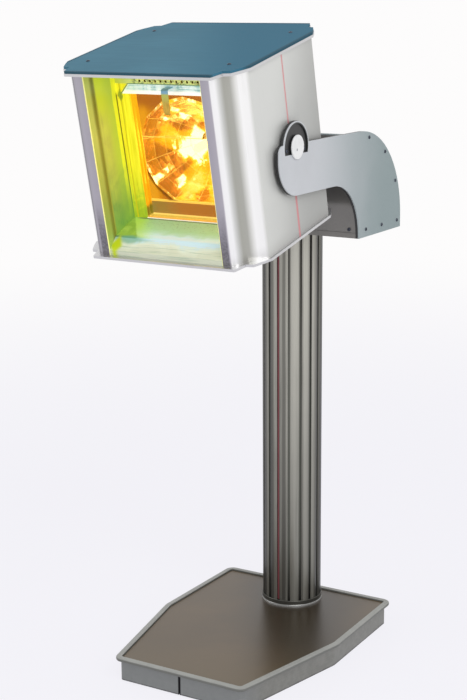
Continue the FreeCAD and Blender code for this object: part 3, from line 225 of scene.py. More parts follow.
def mix(low, high, amount):
    """A colour between two colours."""
    wiring = next(value.wiring for value in (amount, high, low) if isinstance(value, Signal))
    return wiring.add("ShaderNodeMix", {"data_type": "RGBA"}, {0: amount, 6: low, 7: high}, 2)


def layered(colour, *coats):
    """A colour with further ones laid over it in turn, each (colour, amount)."""
    for coat, amount in coats:
        colour = mix(colour, coat, amount)
    return colour


def toned(colour, low, high, amount):
    """A colour between two strengths of itself."""
    return mix(times(colour, low), times(colour, high), amount)


def ramp(amount, *stops):
    """A colour read from a row of stops, each (position, colour)."""
    return amount.wiring.add("ShaderNodeValToRGB", {"stops": stops}, {0: amount})


class Wiring:
    """The nodes of one tree, down to its output."""

    def __init__(self, tree, output):
        self.tree = tree
        self.tree.nodes.clear()
        self.output = self.tree.nodes.new(output)

    def feed(self, node, key, value):
        """Link or set one socket of a node."""
        socket = node.inputs[key]
        if isinstance(value, Signal):
            self.tree.links.new(value.socket, socket)
        elif socket.type == "RGBA":
            socket.default_value = (*value[:3], 1.0)
        else:
            socket.default_value = value

    def add(self, kind, settings=None, values=None, output=0):
        """One node: its type, its settings (a ramp's stops among them), and its sockets' values or links."""
        node = self.tree.nodes.new(kind)
        for name, chosen in (settings or {}).items():
            if name == "stops":
                elements = node.color_ramp.elements
                while len(elements) > 1:
                    elements.remove(elements[-1])
                for index, (position, colour) in enumerate(chosen):
                    stop = elements.new(position) if index else elements[0]
                    stop.position = position
                    stop.color = (*colour, 1.0)
            else:
                setattr(node, name, chosen)
        for key, value in (values or {}).items():
            self.feed(node, key, value)
        return Signal(self, node.outputs[output])

    def show(self, first, second, amount):
        """Put a mix of two shaders on the output."""
        self.feed(self.output, 0, self.add("ShaderNodeMixShader", None, {0: amount, 1: first, 2: second}))

    def seen(self):
        """1 for what is seen directly, in gloss or through glass."""
        rays = self.add("ShaderNodeLightPath").socket.node.outputs
        direct, glass, gloss = (Signal(self, rays[f"Is {kind} Ray"])
                                for kind in ("Camera", "Transmission", "Glossy"))
        return direct.most(glass).most(gloss)


class Finish(Wiring):
    """A procedural material: one Principled shader and the nodes that feed it.

    Its patterns lie in the frame's axes or, where head is true, in the head's own.
    """

    def __init__(self, name, head=False, **constants):
        self.name = name
        self.material = bpy.data.materials.new(name)
        self.material.use_nodes = True
        super().__init__(self.material.node_tree, "ShaderNodeOutputMaterial")
        self.body = self.add("ShaderNodeBsdfPrincipled")
        self.feed(self.output, 0, self.body)
        self.origin, self.tilt = (tuple(HEAD_CENTRE), HEAD_TILT) if head else ((0, 0, 0), 0.0)
        self.at = self.place((1, 1, 1))
        self.paint(**constants)

    def paint(self, **values):
        """Set or link the shader's sockets, named in small letters with underscores."""
        for socket, value in values.items():
            self.feed(self.body.socket.node, socket.replace("_", " ").title().replace("Ior", "IOR"), value)
        return self

    def place(self, scale, turn=0.0):
        """Object coordinates in the finish's axes: a unit of length for each, and a turn about the third."""
        here = self.add("ShaderNodeTexCoord", output=3)
        return self.add("ShaderNodeMapping", {"vector_type": "TEXTURE"}, {
            "Vector": here, "Location": self.origin, "Rotation": (self.tilt, 0, turn), "Scale": scale})

    def axes(self, vector=None):
        """The three numbers of a vector, or else of the place on the piece."""
        first = self.add("ShaderNodeSeparateXYZ", None, {0: vector or self.at})
        return [Signal(self, socket) for socket in first.socket.node.outputs]

    def noise(self, grain, detail=3.0, roughness=0.55, distortion=0.0, turn=0.0):
        """Noise of so many waves a metre or, where grain is three lengths, drawn out to them."""
        even = isinstance(grain, float)
        return self.add("ShaderNodeTexNoise", None, {
            "Vector": self.at if even else self.place(grain, turn), "Scale": grain if even else 1.0,
            "Detail": detail, "Roughness": roughness, "Distortion": distortion})

    def slant(self, blend):
        """0 where the surface is seen square on, 1 at its edge."""
        return self.add("ShaderNodeLayerWeight", None, {"Blend": blend}, 1)

    def bump(self, height, strength, distance):
        """Relief: a height of 0 to 1 over a distance in metres."""
        return self.paint(normal=self.add("ShaderNodeBump", None, {
            "Strength": strength, "Distance": distance, "Height": height}))

    def lay(self, colour, grain, swing, roughness, strength, distance, **values):
        """Paint a colour whose grain swings the roughness up from its lowest and stands in relief."""
        self.paint(base_color=colour, roughness=grain * swing + roughness, **values)
        return self.bump(grain, strength, distance)


# ---------------------------------------------------------------- finishes

def even_finish(name, colour, dark, roughness, grain, clouds, share, tones, swing, relief, head,
                metallic=0.0):
    """One tone in slow clouds. A fine grain has its share in the tone, the roughness and the relief."""
    finish = Finish(name, head, metallic=metallic)
    grain, clouds = finish.noise(*grain), finish.noise(*clouds)
    tone = (grain * share + clouds * (1.0 - share)).rise(*tones)
    return finish.lay(mix(dark, colour, tone), grain, swing, roughness - swing / 2.0, *relief)


def drawn_metal(name, colour, dark, roughness, along, head=False):
    """Metal with fine drawn lines: along gives their length in grains for each axis."""
    return even_finish(name, colour, dark, roughness, (times(along, 0.0011), 4.0), (11.0,), 0.35,
                       (0.3, 0.72), 0.16, (0.1, 0.00012), head, 1.0)


def sprayed_paint(name, colour, dark, metallic=0.0, head=False):
    """Paint with a fine orange peel."""
    return even_finish(name, colour, dark, 0.42, (625.0, 3.0, 0.6), (9.0, 4.0), 0.3,
                       (0.3, 0.7), 0.14, (0.12, 0.0001), head, metallic)


def moulded(name, colour, roughness, head=False):
    """Moulded plastic with a fine even grain."""
    return even_finish(name, colour, times(colour, 0.78), roughness, (1.0 / 0.0009, 2.0, 0.7), (20.0,), 0.5,
                       (0.3, 0.7), 0.2, (0.25, 0.00015), head)


def side_metal(colour):
    """Drawn side profile of the head, with light painted into its colour: painted shade on its front strip
    and in the cove behind the nose, painted highlights on the nose and the swell, and its inner lip glows
    with the channel's painted olive light."""
    finish = Finish("satin_profile", True, emission_strength=0.4)
    side, y, z = finish.axes()
    x = abs(side)
    lines = finish.noise((0.0010, 0.0010, 0.08), 4.0)
    clouds = finish.noise(12.0)
    speckle = finish.noise(260.0, 3.0, 0.7)
    # Painted light across the profile, from its inner lip at 0 to the flank at 1: painted shade on the front
    # strip and in the cove, painted highlights on the nose and the swell
    width = 0.0525
    across = (x - CHANNEL_SIDE) * (1.0 / width) + (lines - 0.5) * 0.012
    profile = ramp(across, (0.0, shade(172, 168, 178)), (0.26, shade(182, 178, 188)),
                   (0.30, (0.95, 0.95, 0.95)), (0.40, (0.95, 0.95, 0.95)), (0.46, shade(210, 211, 209)),
                   (0.52, shade(172, 172, 165)), (0.61, shade(178, 178, 171)), (0.71, shade(228, 228, 224)),
                   (0.78, (0.97, 0.97, 0.96)), (0.93, (0.94, 0.94, 0.93)), (0.985, shade(226, 226, 223)))
    red_line = abs(y).rise(0.0034, 0.0020) * (z.rise(-0.02, -0.05) * 0.5 + 0.2)
    # Painted shade darkens the flank towards the back and the bottom
    flank = layered(toned(colour, 1.0, 0.60, (y - z * 0.40 + clouds * 0.04).rise(-0.07, 0.13)),
                    (shade(214, 120, 124), red_line))
    flat = x.rise(0.1480, 0.1494)
    front = y.rise(0.0, -0.05)
    foot = x.rise(0.1108, 0.1085) * (z + clouds * 0.03 - x * 0.8 + 0.084).rise(-0.030, -0.108) * front
    # Painted shade dims the profile towards the back, darkens the nose on the left side and darkens the
    # bottom; the front strip is also darker and speckled towards its foot
    metal = layered(
        profile,
        ((0.42, 0.42, 0.42), y.rise(0.02, 0.09) * 0.30),
        (flank, flat),
        (shade(132, 128, 140), side.rise(-0.1090, -0.1140) * x.rise(0.1275, 0.1235) * front),
        (shade(92, 90, 96), foot * (speckle.rise(0.40, 0.60) * 0.22 + 0.62)),
        ((0.5, 0.5, 0.5), (lines * 0.5 + clouds * 0.5).rise(0.55, 0.75) * 0.25),
        ((0.30, 0.29, 0.27), (z + clouds * 0.02).rise(-0.105, -0.142) * 0.5))
    # The inner lip's olive is painted light from the channel, and glows
    inner = x.rise(0.0980, 0.0972) * y.rise(-0.1120, -0.1130)
    olive = layered(
        mix(shade(134, 148, 66), shade(168, 178, 90), (z + clouds * 0.1).rise(-0.08, 0.14)),
        (shade(150, 178, 92), (z + clouds * 0.04).rise(-0.06, -0.13)),
        (shade(112, 116, 44), (y + clouds * 0.004).rise(-0.1215, -0.1145)),
        (shade(238, 238, 160), y.rise(-0.1325, -0.1338)))
    return finish.lay(mix(metal, olive, inner), lines, 0.14, flat * 0.12 + 0.24, 0.08, 0.00012,
                      emission_color=mix(BLACK, olive, inner), metallic=0.9 - inner * 0.8 - flat * 0.65)


def arm_paint(colour):
    """Blue-grey fine-texture paint of the arm covers, with painted shade, greener and darker, towards the
    back, and darkened at the window's edge round the cap."""
    finish = Finish("arm_grey", metallic=0.3)
    _, y, z = finish.axes()
    peel = finish.noise(700.0, 3.0, 0.6)
    clouds = finish.noise(9.0, 4.0)
    window_y, window_z = -0.2805, 0.8500
    reach = ((y - window_y) ** 2.0 + (z - window_z) ** 2.0) ** 0.5
    # Painted shade towards the back; the window's edge round the cap is darkened
    paint = layered(
        toned(colour, 0.90, 1.0, (peel * 0.3 + clouds * 0.7).rise(0.3, 0.7)),
        (times(colour, (0.43, 0.52, 0.51)), (y + (clouds - 0.5) * 0.12).rise(-0.26, 0.02)),
        ((0.03, 0.034, 0.032), reach.rise(0.0352, 0.0344) * z.rise(0.8398, 0.8403)))
    return finish.lay(paint, peel, 0.14, 0.36, 0.14, 0.0001)


def teal_lacquer(colour):
    """Teal lacquer on the top cover, with painted shade towards its right and its back, darker along its cut
    corners and edges, and a sparse fine grit.
    """
    finish = Finish("teal_lacquer", True, specular_ior_level=0.10)
    x, y, _ = finish.axes()
    fine = finish.noise(900.0)
    clouds = finish.noise(7.0, 4.0, distortion=0.4)
    streaks = finish.noise((0.09, 0.006, 1.0))
    edge = abs(x).rise(0.1450, 0.1515).most(abs(y).rise(0.1365, 0.1436))
    edge = edge.most((abs(x) + abs(y)).rise(0.262, 0.272))
    paint = layered(
        toned(colour, 0.80, 1.0, (fine * 0.2 + clouds * 0.5 + streaks * 0.3).rise(0.32, 0.70)),
        # Painted shade towards the right and the back
        (times(colour, (0.50, 0.66, 0.72)), (x * 0.9 + y * 0.5 + clouds * 0.05).rise(-0.02, 0.12)),
        (times(colour, 0.30), edge * 0.75))
    return finish.lay(paint, fine, 0.12, 0.55, 0.1, 0.0001)


def channel_walls():
    """Side sheets of the light channel, coloured with painted light that also glows: olive in the middle,
    green near the floor, a yellow band that the filter throws beside the window, and painted shade along the
    rear corner, the front edge and the foot."""
    finish = Finish("channel_walls", True, metallic=0.2, emission_strength=0.42)
    _, y, z = finish.axes()
    lines = finish.noise((0.0009, 0.0022, 0.09), 4.0)
    clouds = finish.noise(22.0, 3.0, distortion=0.6)
    high = layered(
        mix(shade(158, 166, 82), shade(179, 192, 84), (lines * 0.35 + clouds * 0.65).rise(0.30, 0.70)),
        (shade(190, 206, 56), (z + clouds * 0.03).rise(0.060, 0.110)),
        (shade(172, 192, 70), y.rise(-0.100, -0.074)),
        (shade(226, 228, 52), (y + (clouds - 0.5) * 0.006).rise(-0.073, -0.069)),
        # Painted shade in the rear corner by the panel
        (shade(110, 106, 30), y.rise(-0.0638, -0.0620) * z.rise(0.092, 0.082)))
    low = mix(shade(92, 142, 72), shade(118, 160, 72), (clouds * 0.75 + lines * 0.25).rise(0.35, 0.65))
    floor, slope = -0.1035, 0.179
    over_floor = z - floor - (y - PANEL_FRONT) * slope
    colour = layered(
        mix(low, high, (z + clouds * 0.05).rise(-0.09, 0.035)),
        # Painted shade along the front edge by the lip, and faintly at the foot over the floor
        (shade(142, 150, 62), y.rise(-0.1085, -0.1120)),
        (shade(124, 162, 66), over_floor.rise(0.0026, 0.0010)))
    return finish.lay(colour, lines, 0.2, 0.32, 0.12, 0.0002, emission_color=colour)


def channel_floor():
    """Floor sheet of the light channel, coloured with painted light that also glows: green by the filter,
    then cool white, then a cream lip with drawn streaks, with a painted shadow and a yellow-green patch of
    painted light in its left corner."""
    finish = Finish("channel_floor", True, metallic=0.15, emission_strength=0.45)
    x, y, _ = finish.axes()
    streaks = finish.noise((0.06, 0.0016, 0.0016), 4.0)
    clouds = finish.noise(30.0, 4.0, distortion=0.8)
    speckle = finish.noise(330.0, 3.0, 0.7)
    reach = (y + (clouds - 0.5) * 0.022 + (streaks - 0.5) * 0.012).rise(-0.1345, -0.0600)
    # Painted reflection of the left wall and, beside it, of the filter's yellow edge, as the polished floor
    # would mirror them
    aside = x + CHANNEL_SIDE + (y - PANEL_FRONT) * 0.67 + (clouds - 0.5) * 0.006
    level = y.rise(-0.1155, -0.1135)
    wall = mix(shade(128, 164, 62), shade(156, 186, 84), clouds.rise(0.35, 0.65))
    shadow = (abs(x + 0.070) * 0.4 + abs(y + 0.117) * 1.8 + (clouds - 0.5) * 0.012).rise(0.019, 0.006)
    patch = (abs(x + 0.089) + abs(y + 0.127) * 0.8 + (clouds - 0.5) * 0.008).rise(0.015, 0.006)
    colour = layered(
        ramp(reach, (0.0, shade(188, 192, 172)), (0.06, shade(202, 208, 192)), (0.10, shade(192, 206, 200)),
             (0.15, shade(188, 212, 226)), (0.32, shade(190, 218, 230)), (0.46, shade(164, 206, 190)),
             (0.66, shade(150, 198, 160)), (1.0, shade(150, 192, 150))),
        (shade(150, 166, 144), streaks.rise(0.52, 0.66) * y.rise(-0.120, -0.127) * 0.8),
        (shade(104, 142, 96), speckle.rise(0.56, 0.68) * y.rise(-0.105, -0.070) * 0.75),
        (shade(156, 190, 64), x.rise(-0.060, -0.088) * y.rise(-0.115, -0.085)),
        (shade(172, 206, 96), (aside + (speckle - 0.5) * 0.02).rise(0.038, 0.0) * level * 0.8),
        (wall, aside.rise(0.0025, -0.0010) * level),
        # Painted shade along the bend; then the painted shadow, the patch of painted light, and painted shade
        # at the back by the panel
        (shade(84, 112, 60), abs(y + 0.1145).rise(0.0014, 0.0007) * x.rise(-0.058, -0.064)),
        (shade(104, 158, 132), shadow * 0.75),
        (shade(172, 188, 24), patch),
        (shade(96, 122, 84), y.rise(-0.0640, -0.0618) * x.rise(-0.096, -0.080)))
    return finish.lay(colour, streaks, 0.2, 0.3, 0.12, 0.0002, emission_color=colour)


def channel_ceiling():
    """Ceiling sheet of the light channel, in warm olive painted light that also glows."""
    finish = Finish("channel_ceiling", True, metallic=0.2, emission_strength=0.3)
    lines = finish.noise((0.03, 0.0012, 0.0012), 4.0)
    clouds = finish.noise(22.0)
    colour = mix(shade(120, 130, 66), shade(196, 202, 110), (lines * 0.5 + clouds * 0.5).rise(0.3, 0.7))
    return finish.lay(colour, lines, 0.2, 0.32, 0.12, 0.0002, emission_color=colour)


def window_sheet():
    """The panel round the filter, coloured with painted light that also glows: bright yellow at its sides, a
    cool white band above the filter, and olive above that, with painted shade round the vents and in the
    corner by the wall, a darker outline to the band, and a painted highlight on the opening's lower edge."""
    finish = Finish("window_sheet", True, metallic=0.15, emission_strength=0.5)
    x, _, z = finish.axes()
    clouds = finish.noise(60.0, 4.0, distortion=1.2)
    lines = finish.noise((0.03, 0.0009, 0.0009), 4.0)
    upright = finish.noise((0.0016, 0.0016, 0.06))
    specks = finish.noise(times((1.0, 1.0, 0.6), 1.0 / 190.0), 3.0, 0.8)
    band_foot, band_top, line = 0.0870, 0.1020, 0.0004
    yellow = layered(
        mix(shade(222, 210, 34), shade(252, 238, 52), upright.rise(0.38, 0.58)),
        (shade(150, 176, 44), (z + clouds * 0.06).rise(0.01, -0.085)),
        (shade(198, 186, 34), abs(abs(x) - 0.0905).rise(0.0018, 0.0007)))
    olive = layered(
        mix(shade(178, 186, 70), shade(214, 216, 128), (x + clouds * 0.04).rise(-0.085, -0.035)),
        (shade(150, 186, 150), abs(x).rise(0.095, 0.060) * lines.rise(0.5, 0.62) * 0.6))
    cool = layered(
        mix(shade(140, 182, 184), shade(226, 240, 242), (clouds * 0.5 + lines * 0.5).rise(0.40, 0.56)),
        (WHITE, z.rise(0.0945, 0.0905)))
    # The band's left end leans: it starts further right at its top than at its foot
    lean = x - (z - band_foot) * 0.9
    # Painted shade round the vents
    vent_shade = specks.rise(0.47, 0.60) * z.within(0.1020, 0.1120, 0.0008) * abs(x + 0.004).rise(0.066, 0.058)
    end_line = z.within(band_foot - line, band_top + line, line) * abs(lean + 0.0886).rise(0.0018, 0.0007)
    top_line = abs(z - band_top).rise(0.0011, 0.0004) * lean.rise(-0.0886, -0.0866)
    # Painted shade in the corner by the wall
    corner_shade = (abs(x + 0.0910) + abs(z - 0.0835) * 0.6 + (clouds - 0.5) * 0.006).rise(0.0075, 0.0030)
    colour = layered(
        yellow,
        (cool, z.rise(band_foot - line, band_foot + line) * lean.rise(-0.0880, -0.0860)),
        (olive, z.rise(0.1010, 0.1024)),
        (shade(88, 104, 70), vent_shade * 0.85),
        (shade(92, 128, 96), end_line.most(top_line) * 0.85),
        (shade(112, 134, 44), corner_shade * 0.8),
        # Painted highlight on the opening's lower edge
        ((1.0, 1.0, 0.92), z.within(-0.1040, -0.1024, 0.0003) * abs(x).rise(0.0750, 0.0735)))
    return finish.lay(colour, lines, 0.2, 0.28, 0.15, 0.0002, emission_color=colour)


def filter_edge():
    """Steel of the filter's frame, whose inner edges shine amber in the lamp's light."""
    finish = Finish("frame_metal", True, metallic=0.4, emission_strength=1.3)
    x, _, z = finish.axes()
    lines = finish.noise((0.0012, 0.0012, 0.05), 4.0)
    amber = layered(
        mix(shade(226, 176, 40), shade(246, 214, 70), (lines + (z + 0.10) * 1.5).rise(0.4, 0.8)),
        ((0.17, 0.23, 0.07), (z + lines * 0.004).rise(-0.0800, -0.0880)),
        (shade(206, 206, 168), z.rise(-0.1000, -0.1030)))
    steel = mix((0.58, 0.58, 0.57), (0.70, 0.70, 0.69), lines.rise(0.3, 0.7))
    inside = abs(x).rise(0.0790, 0.0782) * z.rise(-0.1200, -0.1190)
    return finish.lay(mix(steel, amber, inside), lines, 0.16, 0.27, 0.1, 0.00012,
                      emission_color=mix(BLACK, amber, inside * 0.8))


def bulkhead_metal():
    """Plate behind the filter, coloured with painted light as if lit from in front, which also glows: amber,
    brighter at its lower left, darker towards the top and black above that as painted shade, with a pale
    painted highlight and a brown band along its foot, and the bowl's painted shadow beside its lower left
    edge."""
    finish = Finish("bulkhead_metal", True, metallic=0.2, emission_strength=1.7)
    x, y, z = finish.axes()
    clouds = finish.noise(28.0, 4.0, distortion=0.8)
    streaks = finish.noise((0.004, 0.004, 0.05))
    brown = mix((0.150, 0.240, 0.210), (0.290, 0.160, 0.100), (x + clouds * 0.08).rise(-0.06, 0.02))
    reach = (x * x + (z - REFLECTOR_DROP) ** 2.0) ** 0.5
    shadow = reach.within(0.0800, 0.0880, 0.002) * (x + z + clouds * 0.03).rise(-0.070, -0.090)
    colour = layered(
        mix((0.33, 0.14, 0.02), (0.56, 0.37, 0.05), (clouds * 0.6 + streaks * 0.4).rise(0.34, 0.66)),
        # Painted shade towards the top and black above the ceiling; painted light at the lower left
        ((0.26, 0.125, 0.060), (z + clouds * 0.03).rise(0.058, 0.084)),
        ((0.52, 0.36, 0.06), x.rise(-0.058, -0.072) * z.rise(0.070, 0.050)),
        (brown, z.rise(-0.0812, -0.0822)),
        # Painted highlight along the ledge's edge
        ((0.80, 0.75, 0.42), z.within(-0.0830, -0.0790, 0.0006) * y.rise(-0.0380, -0.0386)),
        ((0.70, 0.72, 0.62), z.rise(-0.1010, -0.1022)),
        (BLACK, z.rise(0.0960, 0.0990)),
        ((0.060, 0.020, 0.008), shadow * z.rise(-0.0815, -0.0795) * 0.85))
    return finish.lay(mix(BLACK, colour, 0.45), streaks, 0.2, 0.3, 0.1, 0.0002, emission_color=colour)


# Painted highlights where the bowl throws the bulb's light forward, and painted shade where it looks away:
# lift of tone, x and z from its axis, spread
LIT_SPOTS = (
    (0.55, -0.020, -0.004, 0.028),
    (0.60, -0.022, -0.004, 0.017),
    (0.60, -0.040, -0.013, 0.010),
    (0.95, -0.064, -0.042, 0.0060),
    (0.80, -0.037, -0.051, 0.0070),
    (0.45, -0.016, -0.060, 0.020),
    (0.65, -0.056, -0.034, 0.0050),
    (0.66, -0.027, 0.041, 0.0065),
    (0.45, -0.031, 0.057, 0.0055),
    (0.65, -0.051, 0.043, 0.0045),
    (-0.65, -0.066, 0.044, 0.0110),
    (-0.35, -0.066, 0.022, 0.0070),
    (0.28, -0.053, 0.010, 0.0100),
    (-0.60, -0.041, 0.028, 0.0080),
    (-0.40, -0.066, -0.010, 0.0100),
    (-0.50, -0.034, -0.031, 0.0070),
    (-0.45, -0.007, 0.024, 0.0080),
    (-0.55, 0.004, -0.070, 0.0100),
)


def reflector_metal(strength):
    """Facets of polished metal round the lit bulb, coloured with the bulb's painted reflection, which glows.
    Each facet's own tone is the attribute 'glow', its pale seams follow its own UV square, and painted glints
    lie over both."""
    finish = Finish("reflector_metal", True, base_color=(0.55, 0.42, 0.25), metallic=0.6, roughness=0.2,
                    emission_strength=strength)
    x, y, z = finish.axes()
    height = z - REFLECTOR_DROP
    glow = finish.add("ShaderNodeAttribute", {"attribute_name": "glow"}, output=2)
    square = finish.axes(finish.add("ShaderNodeUVMap", {"uv_map": "facet"}))
    across, along = (abs(way - 0.5) for way in square[:2])
    fine = finish.noise(120.0, 4.0, 0.6, 1.4)
    shards, chips = (finish.axes(finish.add("ShaderNodeTexVoronoi", None, {
        "Vector": finish.place(stretch), "Scale": scale, "Randomness": 1.0}, 1))[0]
        for stretch, scale in (((1.0, 0.5, 1.6), 90.0), ((0.6, 1.0, 1.0), 190.0)))
    spots = 0.0
    for lift, at_x, at_z, spread in LIT_SPOTS:
        reach = abs(x - at_x) + abs(height - at_z) * 0.85 + (fine + shards * 0.4 - 0.7) * (spread * 1.6)
        spots = reach.rise(spread * 1.5, spread * 0.6) * lift + spots
    tone = glow * 0.80 + (shards - 0.5) * 0.50 + (chips - 0.5) * 0.30 + (fine - 0.5) * 0.60 - 0.01 + spots
    calm = glow * 0.50 + (shards - 0.5) * 0.20 + (fine - 0.5) * 0.28 + 0.20 + spots
    broken = ramp(tone, (0.0, (0.030, 0.0045, 0.004)), (0.12, (0.062, 0.012, 0.009)),
                  (0.26, (0.108, 0.036, 0.014)), (0.42, (0.146, 0.080, 0.024)),
                  (0.56, (0.162, 0.132, 0.056)), (0.70, (0.195, 0.205, 0.190)),
                  (0.82, (0.300, 0.360, 0.560)), (0.95, WHITE))
    golden = ramp(calm, (0.0, (0.080, 0.026, 0.001)), (0.22, (0.146, 0.082, 0.003)),
                  (0.40, (0.162, 0.140, 0.006)), (0.62, (0.185, 0.196, 0.026)),
                  (0.80, (0.240, 0.280, 0.200)), (0.95, WHITE))
    below = (finish.noise(26.0, 2.0) + (x + 0.030) * 4.0 - abs(height + 0.055) * 1.6).rise(0.38, 0.50)
    beside = (abs(x + 0.053) + abs(height - 0.012) * 0.8 + (fine - 0.5) * 0.020).rise(0.023, 0.015)
    fold = abs(z + (y - REFLECTOR_FRONT) * 0.33 - 0.016).rise(0.0011, 0.0004)
    seam = across.rise(0.475, 0.497).most(along.rise(0.478, 0.497)).most(fold)
    colour = layered(broken, (golden, below.most(beside)), ((0.20, 0.20, 0.13), seam * 0.8))
    # Nothing glows on the facets that look backwards, whose tone is -1
    finish.paint(emission_color=mix(BLACK, colour, glow.rise(-0.7, -0.3)))
    return finish.bump(fine, 0.25, 0.0006)


def bulb_glow():
    """Lit quartz: white in its middle, warmer towards its tip and seal."""
    finish = Finish("bulb_glow", True, base_color=(0.9, 0.86, 0.78), emission_strength=5.0)
    _, y, _ = finish.axes()
    fine = finish.noise(200.0)
    heat = (y + (fine - 0.5) * 0.004).rise(0.010, 0.022)
    return finish.paint(emission_color=mix(WHITE, (0.60, 0.36, 0.10), heat), roughness=fine * 0.1 + 0.1)


def catch_brass(colour):
    """Thin spring strip over the filter, coloured with painted light that also glows: gold below, green-gold
    and cool where it meets the band.
    """
    finish = Finish("catch_brass", True, metallic=0.35, emission_strength=0.35)
    _, _, z = finish.axes()
    lines = finish.noise((0.0008, 0.0008, 0.03), 4.0)
    clouds = finish.noise(120.0)
    tone = layered(
        toned(colour, 0.72, 1.0, (lines * 0.6 + clouds * 0.4).rise(0.35, 0.62)),
        (shade(176, 178, 92), (z + clouds * 0.01).rise(0.080, 0.095)),
        (shade(120, 160, 190), z.rise(0.0915, 0.0945)))
    return finish.lay(tone, lines, 0.15, 0.25, 0.1, 0.0002, emission_color=tone)


def tinted_glass(name, tint, gloss, rim):
    """A flat pane: light passes straight through with its tint, under a weak gloss that grows at a slant."""
    finish = Finish(name, True, base_color=gloss, roughness=0.03)
    finish.show(finish.add("ShaderNodeBsdfTransparent", None, {0: tint}), finish.body,
                finish.slant(0.25) * 0.25 + finish.noise(24.0) * 0.04 + rim)
    return finish


def rocker_plastic():
    """Black rocker with a white bar on its upper half and a white ring on its lower half."""
    finish = Finish("rocker_plastic", True)
    x, y, z = finish.axes()
    pits = finish.noise(1100.0, 2.0, 0.7)
    middle, bar_z, ring_z = 0.042, -0.0900, -0.1020
    bar = abs(x - middle).rise(0.0007, 0.0005) * abs(z - bar_z).rise(0.0028, 0.0026)
    reach = ((x - middle) ** 2.0 + (z - ring_z) ** 2.0) ** 0.5
    mark = bar.most(abs(reach - 0.0023).rise(0.0006, 0.0004)) * y.rise(0.1320, 0.1335)
    colour = mix((0.020, 0.020, 0.022), (0.75, 0.75, 0.75), mark)
    return finish.lay(colour, pits, 0.2, 0.30, 0.25, 0.00015)


def cap_plastic(colour):
    """White cap plastic with a small grey index mark below and in front of its centre."""
    finish = Finish("cap_plastic", True, coat_weight=0.2, coat_roughness=0.15)
    _, y, z = finish.axes()
    pits = finish.noise(900.0, 2.0, 0.7)
    clouds = finish.noise(60.0)
    mark = ((y + 0.0062) ** 2.0 + (z + 0.0030) ** 2.0).rise(0.0024 ** 2, 0.0013 ** 2) * 0.8
    base = layered(toned(colour, 0.90, 1.0, (pits * 0.4 + clouds * 0.6).rise(0.3, 0.6)),
                   (shade(128, 132, 140), mark))
    finish.paint(base_color=base, roughness=pits * 0.12 + 0.28)
    return finish.bump(1.0 - mark + pits * 0.05, 0.4, 0.0004)


def column_metal(colour):
    """Bead-blasted fluted profile, with painted light: painted shade in the hollows between flutes and
    painted highlights on the crowns, both lighter towards the top, painted shade on the sides seen at a
    slant, and a faint painted glow in the hollows over most of the height that softens their shade."""
    finish = Finish("column_metal", metallic=0.7, emission_strength=1.0)
    x, y, z = finish.axes()
    lines = finish.noise((0.0012, 0.0012, 0.12), 4.0)
    clouds = finish.noise(14.0)
    flutes = finish.noise((0.016, 0.016, 4.0), 2.0)
    reach = (x * x + y * y) ** 0.5
    crown = (reach + (lines - 0.5) * 0.0010).rise(0.0450, 0.0499) ** 1.5
    height = (z + clouds * 0.1).rise(0.10, 0.72)
    lit = (flutes + (lines - 0.5) * 0.2).rise(0.36, 0.62)
    # Painted shade in the hollows, painted highlights on the crowns and painted shade at the slant
    metal = layered(
        toned(colour, 0.24, 0.62, height),
        (mix(toned(colour, 0.46, 1.18, lit), toned(colour, 0.80, 2.1, lit), height), crown),
        ((0.02, 0.02, 0.02), finish.slant(0.5).rise(0.14, 0.70) * 0.90))
    # Painted glow in the hollows, softening their shade
    slot_glow = reach.rise(0.0478, 0.0455) * z.rise(0.66, 0.38) * z.rise(0.04, 0.17)
    return finish.lay(metal, lines, 0.16, 0.28, 0.1, 0.0002,
                      emission_color=mix(BLACK, (0.043, 0.046, 0.039), slot_glow))


def ring_metal(colour):
    """Turned cover ring at the column's foot: dark like the column's foot, with a painted highlight along its
    flange edge.
    """
    finish = Finish("ring_metal", metallic=0.8)
    x, y, z = finish.axes()
    lines = finish.noise((0.03, 0.03, 0.0006))
    clouds = finish.noise(30.0)
    reach = (x * x + y * y) ** 0.5
    # Painted highlight along the flange edge
    edge = (z + (clouds - 0.5) * 0.0006).rise(0.0420, 0.0412) * reach.rise(0.0500, 0.0506)
    metal = layered(toned(colour, 0.25, 0.55, lines), ((0.62, 0.63, 0.63), edge))
    return finish.lay(metal, lines, 0.15, 0.25, 0.1, 0.0001)


def base_board(colour):
    """Dark warm board of the base: satin lacquer over a faint brushed figure, painted darkest beside the
    column as the column's dark reflection, and greener at its front."""
    finish = Finish("base_board", coat_weight=0.25, coat_roughness=0.34, specular_ior_level=0.4)
    x, y, _ = finish.axes()
    figure = finish.noise((0.05, 0.012, 0.05), 4.0, turn=math.radians(31))
    pits = finish.noise(1300.0, 2.0)
    clouds = finish.noise(6.0)
    # near: distance from the painted dark reflection of the column, drawn out towards the front
    along, aside = x * 0.52 - y * 0.85, x * 0.85 + y * 0.52
    near = (((along - 0.09) * 0.42) ** 2.0 + (aside - 0.01) ** 2.0) ** 0.5 + (clouds - 0.5) * 0.03
    board = layered(
        times(colour, 0.26),
        (toned(colour, 0.80, 1.12, (figure * 0.2 + clouds * 0.8).rise(0.30, 0.70)), near.rise(0.035, 0.150)),
        (times(colour, (1.06, 1.12, 1.06)), y.rise(-0.22, -0.36) * 0.7))
    return finish.lay(board, pits, 0.06, figure * 0.03 + 0.28, 0.12, 0.0001)


